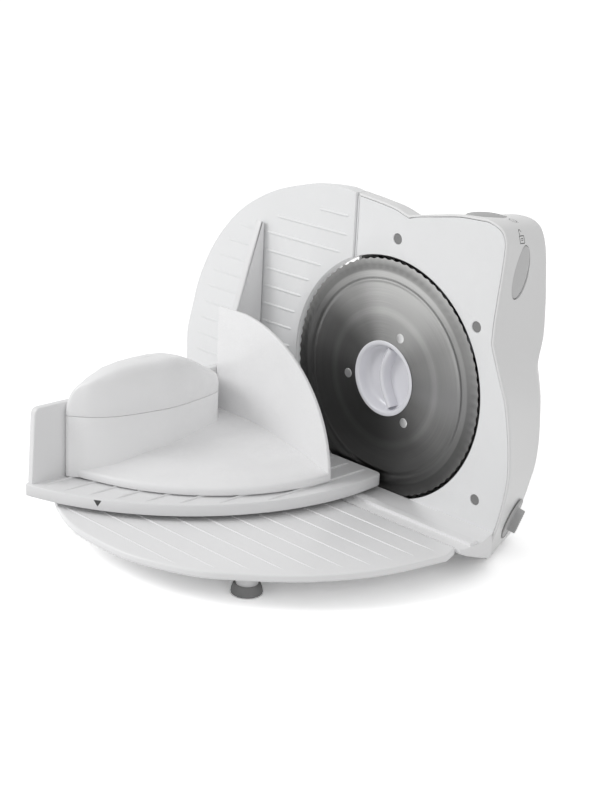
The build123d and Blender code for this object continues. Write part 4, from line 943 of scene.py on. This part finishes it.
# Tray
tray = {
    "middle": -45.0,
    "half": [(0, -214.5), (34.2, -211.3), (70.8, -196.7), (91.8, -179.8), (122.6, -146.1), (145.4, -103),
             (157, -52.1)],
    "corner": (152.4, -38.8),
    "flare": (1.6, 3.5),
    "profile": [(-86.0, 1.2), (-85.8, 0.5), (-85.3, 0.1), (-84.8, 0), (-82.3, 0), (-81.6, 0.15),
                (-81.0, 0.6), (-80.8, 1.3)],
    "ribs": (-53.6, -69.8, -86, -102.6, -118.8, -135, -151, -167.6, -183, -198),
    "ribZ": -80.8,
    "ribGap": 9,
}
knuckle = {
    "places": (-62.975, 52.67),
    "line": (-32.0, -88.0),
    "profile": [(2.1, -5), (3.0, -5), (3.4, -4.6), (3.4, 4.6), (3.0, 5), (2.1, 5)],
    "armLow": (-5, -43.6, -89.9),
    "armHigh": (5, -34, -85.95),
}


def makeTray():
    middle, (corner, back), (flare, rise) = tray["middle"], tray["corner"], tray["flare"]
    half = tray["half"]
    run = smoothRun([(-across, y) for across, y in reversed(half)] + half[1:], 10)
    outline = [(middle + across, y) for across, y in run]
    outline += [(middle + corner + flare, back - rise), (middle + corner, back)]
    outline += straightRun((middle + corner, back), (middle - corner, back), 24)[1:]
    outline += [(middle - corner, back), (middle - corner - flare, back - rise)]
    return moulding("tray_disc", "plan", outline, tray["profile"], "trayWhite", 50)


done(makeTray(), "housing", "white_plastic", "tray")
for index, place in enumerate(knuckle["places"]):
    number = index + 1
    barrel = turned(f"tray_knuckle_{number}", (place, *knuckle["line"]), (1, 0, 0), knuckle["profile"],
                    "trayWhite", 40)
    done(barrel, "housing", "white_plastic")
    (x0, *low), (x1, *high) = knuckle["armLow"], knuckle["armHigh"]
    arm = box(f"tray_knuckle_arm_{number}", (place + x0, *low), (place + x1, *high), "trayWhite")
    done(arm, "housing", "white_plastic")
trayLines = []
for y in tray["ribs"]:
    half = lookUp([(back, across) for across, back in tray["half"]], y) - tray["ribGap"]
    trayLines.append([(tray["middle"] + side * half, y, tray["ribZ"]) for side in (-1, 1)])
done(ribs("tray_ribs", trayLines, (0, 0, 1), 1.6, 0.45, "trayWhite"), "housing", "white_plastic")

footForms = {
    "places": [(33.5, -155), (-123.5, -155)],
    "tray_foot_stems": [(0.3, -99.1), (7.3, -99.1), (7.6, -97), (8.4, -90), (9.2, -86), (0.3, -86)],
    "tray_foot_rubbers": [(0.3, -106), (9.6, -106), (10.3, -105.6), (10.5, -104.8), (10.1, -102),
                          (9.2, -99.6), (8.6, -99.1), (0.3, -99.1)],
}
for node, finish, slotName in [("tray_foot_stems", "trayWhite", "white_plastic"),
                               ("tray_foot_rubbers", "footGrey", "foot_rubber")]:
    for index, (x, y) in enumerate(footForms["places"]):
        foot = turned(f"{node}_{index + 1}", (x, y, 0), (0, 0, 1), footForms[node], finish, 48, 40)
        done(foot, "housing", slotName, *([node] if index == 0 else []))
feet = copyOf("housing_foot_set", "housing_feet", "footGrey", 1.0, 3, 40)
done(feet, "housing", "foot_rubber", "housing_feet")
print("tray and feet done")

# Carriage: table, wall with its fin, glides and ribs
carriage = {
    "centre": (-179, -32),
    "radius": 188.0,
    "left": -130,
    "back": -2.5,
    "corner": 5,
    "top": -68.5,
    "profile": [(-71.5, 2.4), (-76.9, 2.4), (-76.9, 0.3), (-76.6, 0), (-69.4, 0), (-68.85, 0.15),
                (-68.6, 0.45), (-68.5, 1.0)],
    "glides": [(-31.7, -29.3), (-21.4, -19.0)],
    "glideX": (-127.6, 1.8),
    "glideZ": (-80.7, -71.0),
    "ribs": (-118, -102, -86, -70, -54, -38, -22, -6),
    "ribBack": -7,
    "ribGap": 4,
}
# the wall's outline seen from the side, from its low front corner up over the fin
wall = {
    "front": [(-209.8, -71.5), (-207.3, -20)],
    "frontCorner": [(-207, -20), (-207, -15), (-202, -15)],
    "shoulder": [(-43, -15), (-41.6, -14.9)],
    "fin": [(-41.0, -14.0), (-27.8, 25.0), (-22.0, 43.0), (-16.8, 60.0), (-10.8, 77.0), (-6.5, 88.4),
            (-4.6, 88.5)],
    "finCorner": [(-4.6, 88.5), (-3, 88.4), (-3, 86.5)],
    "foot": (-3, -71.5),
    "sides": (-130, -124),
    "edge": 1.1,
}


def carriageOutline():
    cx, cy = carriage["centre"]
    r, left, back, corner = (carriage[name] for name in ("radius", "left", "back", "corner"))
    high = degrees(asin((back - cy) / r))
    low = -degrees(acos((left - cx) / r))
    turn = degrees(corner / r)
    rightX, frontY = cx + r * cos(radians(high)), cy + r * sin(radians(low))
    arc = arcRun((cx, cy), r, high - turn, low + turn, 90)
    loop = straightRun((left, back), (rightX - corner, back), 12)
    loop += softCorner((rightX - corner, back), (rightX, back), arc[0])
    loop += arc[1:-1]
    loop += softCorner(arc[-1], (left, frontY), (left, frontY + corner))
    return loop + straightRun((left, frontY + corner), (left, back), 14)[1:]


def wallOutline():
    front, fin, shoulder, foot = wall["frontCorner"], wall["finCorner"], wall["shoulder"], wall["foot"]
    loop = wall["front"] + softCorner(*front)[1:]
    loop += straightRun(front[-1], shoulder[0], 10)[1:] + shoulder[1:]
    loop += smoothRun(wall["fin"], 6) + softCorner(*fin)[1:]
    return loop + straightRun(fin[-1], foot, 10)[1:] + [foot]


carriageTable = moulding("carriage_table", "plan", carriageOutline(), carriage["profile"],
                         "carriageWhite", 50)
done(carriageTable, "food_carriage", "white_plastic", "carriage")
carriageWall = moulding("carriage_wall", "side", wallOutline(), roundedProfile(*wall["sides"], wall["edge"]),
                        "carriageWhite", 50)
done(carriageWall, "food_carriage", "white_plastic")
(glideLeft, glideRight), (glideFoot, glideTop) = carriage["glideX"], carriage["glideZ"]
for index, (near, far) in enumerate(carriage["glides"]):
    glide = box(f"carriage_glide_{index + 1}", (glideLeft, near, glideFoot), (glideRight, far, glideTop),
                "carriageWhite", 0.3)
    done(glide, "food_carriage", "white_plastic")


def onRim(x, z, proud=0.0):
    cx, cy = carriage["centre"]
    r = carriage["radius"] + proud
    return (x, cy - sqrt(r * r - (x - cx) ** 2), z)


carriageLines = []
for x in carriage["ribs"]:
    front = onRim(x, carriage["top"])[1] + carriage["ribGap"]
    carriageLines.append(((x, front, carriage["top"]), (x, carriage["ribBack"], carriage["top"])))
carriageRibs = ribs("carriage_ribs", carriageLines, (0, 0, 1), 1.8, 1.05, "carriageWhite")
done(carriageRibs, "food_carriage", "white_plastic")

# printed triangle on the table's rim: corners as (x, z)
triangle = {"corners": [(-79.7, -69.7), (-75.0, -69.7), (-77.3, -74.2)], "rows": 5, "proud": 0.06}


def makeMarker():
    a, b, c = triangle["corners"]
    rows = triangle["rows"]
    points = []
    for row in range(rows + 1):
        t = row / rows
        left = [a[k] + (c[k] - a[k]) * t for k in (0, 1)]
        right = [b[k] + (c[k] - b[k]) * t for k in (0, 1)]
        for column in range(rows + 1):
            s = column / rows
            x, z = [left[k] + (right[k] - left[k]) * s for k in (0, 1)]
            points.append(onRim(x, z, triangle["proud"]))
    width = rows + 1
    faces = [(r * width + c, r * width + c + 1, (r + 1) * width + c + 1, (r + 1) * width + c)
             for r in range(rows) for c in range(rows)]
    return makePiece("carriage_marker", points, faces, "printGrey", 0)


done(makeMarker(), "food_carriage", "switch_black")
print("carriage done")

# Food holder: domed floor, upright plate, grip block and cap
holder = {
    "left": -122.9,
    "foot": -67.4,
    "seam": -23.7,
    "spaceLow": (-122.9, -200, -90),
    "spaceHigh": (20, -46.5, 0),
    "tongueLow": (-124.4, -170, -48),
    "tongueHigh": (-122.5, -60, -42),
}
# the floor turns about an upright axis: (reach, z) along its top, its rim and its underside
dome = {
    "centre": (-138.3, -43.6),
    "hub": [(0.5, -48.7)],
    "top": [(0.5, -45.5), (25, -45.55), (50.3, -45.7), (74.8, -48.0), (89.8, -51.0), (107.4, -53.9),
            (119.7, -57.5), (128.5, -59.6), (132.6, -60.9)],
    "rim": [(134.6, -61.5), (135.6, -62.3), (136.0, -63.4), (136.0, -66.8), (135.6, -67.3), (135.2, -67.4)],
    "under": [(133, -67.4), (130.0, -64.2), (117, -60.5), (88, -54), (50.3, -48.9)],
    "start": -96,
    "sweep": 102,
    "steps": 56,
    "swell": 0.035,
    "swellFrom": -72,
    "swellOver": 24,
}
upright = {"centre": (-104.8, -69.9), "radius": 101.75, "top": 31.5, "depths": (-47, -44), "edge": 0.9}


def makeDome():
    cx, cy = dome["centre"]
    profile = dome["hub"] + smoothRun(dome["top"], 3) + dome["rim"] + dome["under"]
    rings = []
    for step in range(dome["steps"] + 1):
        angle = radians(dome["start"] + dome["sweep"] * step / dome["steps"])
        near = max(0, min(1, (dome["swellFrom"] - degrees(angle)) / dome["swellOver"]))
        swell = 1 + dome["swell"] * near
        rings.append([(cx + r * swell * cos(angle), cy + r * swell * sin(angle), z) for r, z in profile])
    return ringForm("pusher_floor", rings, "holderWhiteWithPaintedLight", 40)


def makeHolderPlate():
    (cx, cz), r, top = upright["centre"], upright["radius"], upright["top"]
    left, foot = holder["left"], holder["foot"]
    arc = arcRun((cx, cz), r, degrees(asin((foot - cz) / r)), degrees(asin((top - cz) / r)), 80)
    loop = arc + straightRun(arc[-1], (left, top), 4)[1:]
    loop += straightRun((left, top), (left, foot), 10)
    loop += straightRun((left, foot), arc[0], 12)
    profile = roundedProfile(*upright["depths"], upright["edge"])
    return moulding("pusher_plate", "front", loop, profile, "holderWhiteWithPaintedLight", 50)


holderFloor = makeDome()
floorSpace = box("floorSpace", holder["spaceLow"], holder["spaceHigh"], "holderWhiteWithPaintedLight", 0)
cut(holderFloor, [floorSpace], 40, "INTERSECT")
done(holderFloor, "food_holder", "white_plastic", "pusher")
done(makeHolderPlate(), "food_holder", "white_plastic")

# the grip block's outline seen from above, as shares of its width and of its distance in front
block = {
    "shares": [(0.107, 1.002), (0.255, 0.981), (0.425, 0.954), (0.563, 0.922), (0.704, 0.880), (0.802, 0.833),
               (0.877, 0.781), (0.940, 0.716), (1.0, 0.647), (0.987, 0.563), (0.921, 0.489), (0.862, 0.426),
               (0.758, 0.366), (0.594, 0.336), (0.343, 0.314)],
    "width": 31.8,
    "reach": -183,
    "first": (-122.3, -183.2),
    "near": -182.4,
    "far": -54.9,
    "profile": [(-67.4, 0), (-24.3, 0), (-23.95, 0.15), (-23.8, 0.45), (-23.8, 1.2)],
}
blockPoints = [(holder["left"] + block["width"] * a, block["reach"] * b) for a, b in block["shares"]]
far, near = (holder["left"], block["far"]), (holder["left"], block["near"])
blockLoop = [block["first"]] + smoothRun(blockPoints, 5) + straightRun(far, near, 10) + [near]
holderBlock = moulding("pusher_block", "plan", blockLoop, block["profile"], "holderWhiteWithPaintedLight", 50)
done(holderBlock, "food_holder", "white_plastic")
tongue = box("pusher_tongue", holder["tongueLow"], holder["tongueHigh"], "holderWhiteWithPaintedLight", 0.4)
done(tongue, "food_holder", "white_plastic")

cap = {
    "ridge": [(-183.4, -12), (-180, -4.5), (-170, 2.6), (-155.5, 8.4), (-139, 10.2), (-124.4, 10.3),
              (-110, 9.8), (-91.5, 4.8), (-73, -5.5), (-60.4, -12.8), (-54.9, -15.5)],
    "ridgeX": -109.4,
    "ridgeY": (-169.4, -64.9),
    "edge": [(1.2, 0.12), (0.5, 0.12), (0.15, 0.3), (0.03, 0.7)],
    "edgeTop": 0.9,
    "levels": 14,
    "closing": 0.45,
    "climbing": 0.7,
}


def makeCap():
    # the block's outline climbs and closes in toward a ridge above its middle line
    ridge = smoothRun(cap["ridge"], 6)
    seam = holder["seam"]
    foot = seam + cap["edgeTop"]
    rings = [[(x, y, seam + rise) for x, y in insetLoop(blockLoop, inward)] for inward, rise in cap["edge"]]
    for level in range(1, cap["levels"] + 1):
        angle = radians(90 * level / cap["levels"])
        keep = cos(angle) ** cap["closing"]
        climb = sin(angle) ** cap["climbing"]
        ring = []
        for x, y in blockLoop:
            ridgeY = min(max(y, cap["ridgeY"][0]), cap["ridgeY"][1])
            px = cap["ridgeX"] + (x - cap["ridgeX"]) * keep
            py = ridgeY + (y - ridgeY) * keep
            ring.append((px, py, foot + (lookUp(ridge, py) - foot) * climb))
        rings.append(ring)
    return ringForm("pusher_cap_shell", rings, "holderWhiteWithPaintedLight", 60)


done(makeCap(), "food_holder", "white_plastic", "pusher_cap")
print("food holder done")


# Printed marks beside the buttons
def stickOn(name, loops, direction):
    # thin printed shapes laid on the housing's skin, seen along a direction
    stepBack, proud = 0.05, 0.00006
    points, faces = [], []
    ray = Vector(direction)
    for loop in loops:
        start = len(points)
        for point in loop:
            hit, normal, _, _ = skinTree.ray_cast(at(*point) - ray * stepBack, ray)
            if hit is None:
                print("mark misses the skin at", point)
                return
            outward = 1 if normal.dot(ray) < 0 else -1
            points.append(tuple((hit + normal * proud * outward - bladeCentre) * 1000))
        count = len(loop) // 2
        for index in range(start, start + count - 1):
            faces.append((index, index + 1, index + count + 1, index + count))
    done(makePiece(name, points, faces, "printGrey", 0), "housing", "switch_black")


def strokeLoop(line, width, place):
    # a stroke's two sides, given its middle line in two directions
    left, right = [], []
    for index, point in enumerate(line):
        way = wayAlong(line, index)
        left.append(place(point[0] - way.y * width / 2, point[1] + way.x * width / 2))
        right.append(place(point[0] + way.y * width / 2, point[1] - way.x * width / 2))
    return left + right


# an open padlock as strokes of (y, z), and the on and off mark as strokes of (x, y)
padlock = {
    "body": [[(15.2, 118.6), (15.4, 115.9), (15.6, 113.4)], [(15.2, 118.6), (18.5, 118.3), (21.9, 118.0)],
             [(21.9, 118.0), (21.9, 115.4), (21.9, 112.8)], [(15.6, 113.4), (18.7, 113.1), (21.9, 112.8)],
             [(16.6, 118.5), (16.6, 120.3), (17.0, 121.7), (18.2, 122.4), (19.4, 122.0), (20.0, 120.8)]],
    "lines": [[(17.2, 116.6), (20.3, 116.4)], [(17.3, 115.4), (20.3, 115.2)]],
    "bodyWidth": 0.6,
    "lineWidth": 0.5,
    "from": (18.5, 115.7),
    "to": (19.5, 115.2),
    "scale": 0.9,
    "x": 96,
}
power = {"centre": (81.5, 24.5), "radius": 2.6, "hand": (84.6, 26.6), "width": 0.4, "z": 126}


def onFlank(y, z):
    (y0, z0), (y1, z1), scale = padlock["from"], padlock["to"], padlock["scale"]
    return (padlock["x"], y1 + (y - y0) * scale, z1 + (z - z0) * scale)


def onTop(x, y):
    return (x, y, power["z"])


padlockLoops = [strokeLoop(line, padlock["bodyWidth"], onFlank) for line in padlock["body"]]
padlockLoops += [strokeLoop(line, padlock["lineWidth"], onFlank) for line in padlock["lines"]]
stickOn("lock_mark", padlockLoops, (-1, 0, 0))
powerRing = arcRun(power["centre"], power["radius"], 0, 360, 18)
powerStrokes = [powerRing, [power["centre"], power["hand"]]]
stickOn("power_mark", [strokeLoop(line, power["width"], onTop) for line in powerStrokes], (0, 0, -1))

# Floor, lamps and room
studio = {
    "fill": 0.60,
    "floorHalf": 20,
    "floorZ": -0.0001,
    "floorDiffuse": 0.78,
    "floorSeen": 0.95,
    "floorGlow": 0.05,
    "lamps": {
        "keyLamp": {"place": (-0.85, -1.25, 1.15), "watts": 12.0, "size": 0.9},
        "sideLamp": {"place": (1.5, -0.4, 0.9), "watts": 2.0, "size": 0.8},
    },
}


def seenDirectly(tree):
    path = addNode(tree, "ShaderNodeLightPath")
    both = mathNode(tree, "MAXIMUM", path.outputs["Is Camera Ray"], path.outputs["Is Glossy Ray"])
    return mathNode(tree, "MAXIMUM", both, path.outputs["Is Transmission Ray"])


def makeFloor():
    mesh = bpy.data.meshes.new("studioFloor")
    z, half = studio["floorZ"], studio["floorHalf"]
    mesh.from_pydata([(-half, -half, z), (half, -half, z), (half, half, z), (-half, half, z)], [],
                     [(0, 1, 2, 3)])
    finish = bpy.data.materials.new("paleFloor")
    finish.use_nodes = True
    tree = finish.node_tree
    tree.nodes.clear()
    seen = seenDirectly(tree)
    brighter = mathNode(tree, "MULTIPLY", seen, studio["floorSeen"])
    base = addNode(tree, "ShaderNodeBsdfDiffuse",
                   {"Color": mathNode(tree, "ADD", brighter, studio["floorDiffuse"])})
    glow = addNode(tree, "ShaderNodeEmission",
                   {"Strength": mathNode(tree, "MULTIPLY", seen, studio["floorGlow"])})
    both = addNode(tree, "ShaderNodeAddShader", {0: base.outputs[0], 1: glow.outputs[0]})
    addNode(tree, "ShaderNodeOutputMaterial", {"Surface": both.outputs[0]})
    mesh.materials.append(finish)
    addObject("studioFloor", mesh)


def makeRoom():
    # lit by a soft fill, seen by the camera as plain white
    world = bpy.data.worlds.new("softRoom")
    world.use_nodes = True
    tree = world.node_tree
    tree.nodes.clear()
    white = (1, 1, 1, 1)
    fill = addNode(tree, "ShaderNodeBackground", {"Color": white, "Strength": studio["fill"]})
    seen = addNode(tree, "ShaderNodeBackground", {"Color": white})
    mix = addNode(tree, "ShaderNodeMixShader", {"Fac": seenDirectly(tree), 1: fill.outputs[0],
                                                2: seen.outputs[0]})
    addNode(tree, "ShaderNodeOutputWorld", {"Surface": mix.outputs[0]})
    scene.world = world


def makeLamp(name, place, watts, size):
    data = bpy.data.lights.new(name, "AREA")
    data.energy = watts
    data.shape = "DISK"
    data.size = size
    lamp = addObject(name, data)
    lamp.location = place
    lamp.rotation_euler = (bladeCentre - Vector(place)).to_track_quat("-Z", "Y").to_euler()


makeFloor()
makeRoom()
for lampName, lampValues in studio["lamps"].items():
    makeLamp(lampName, **lampValues)
scene.view_settings.view_transform = "Standard"
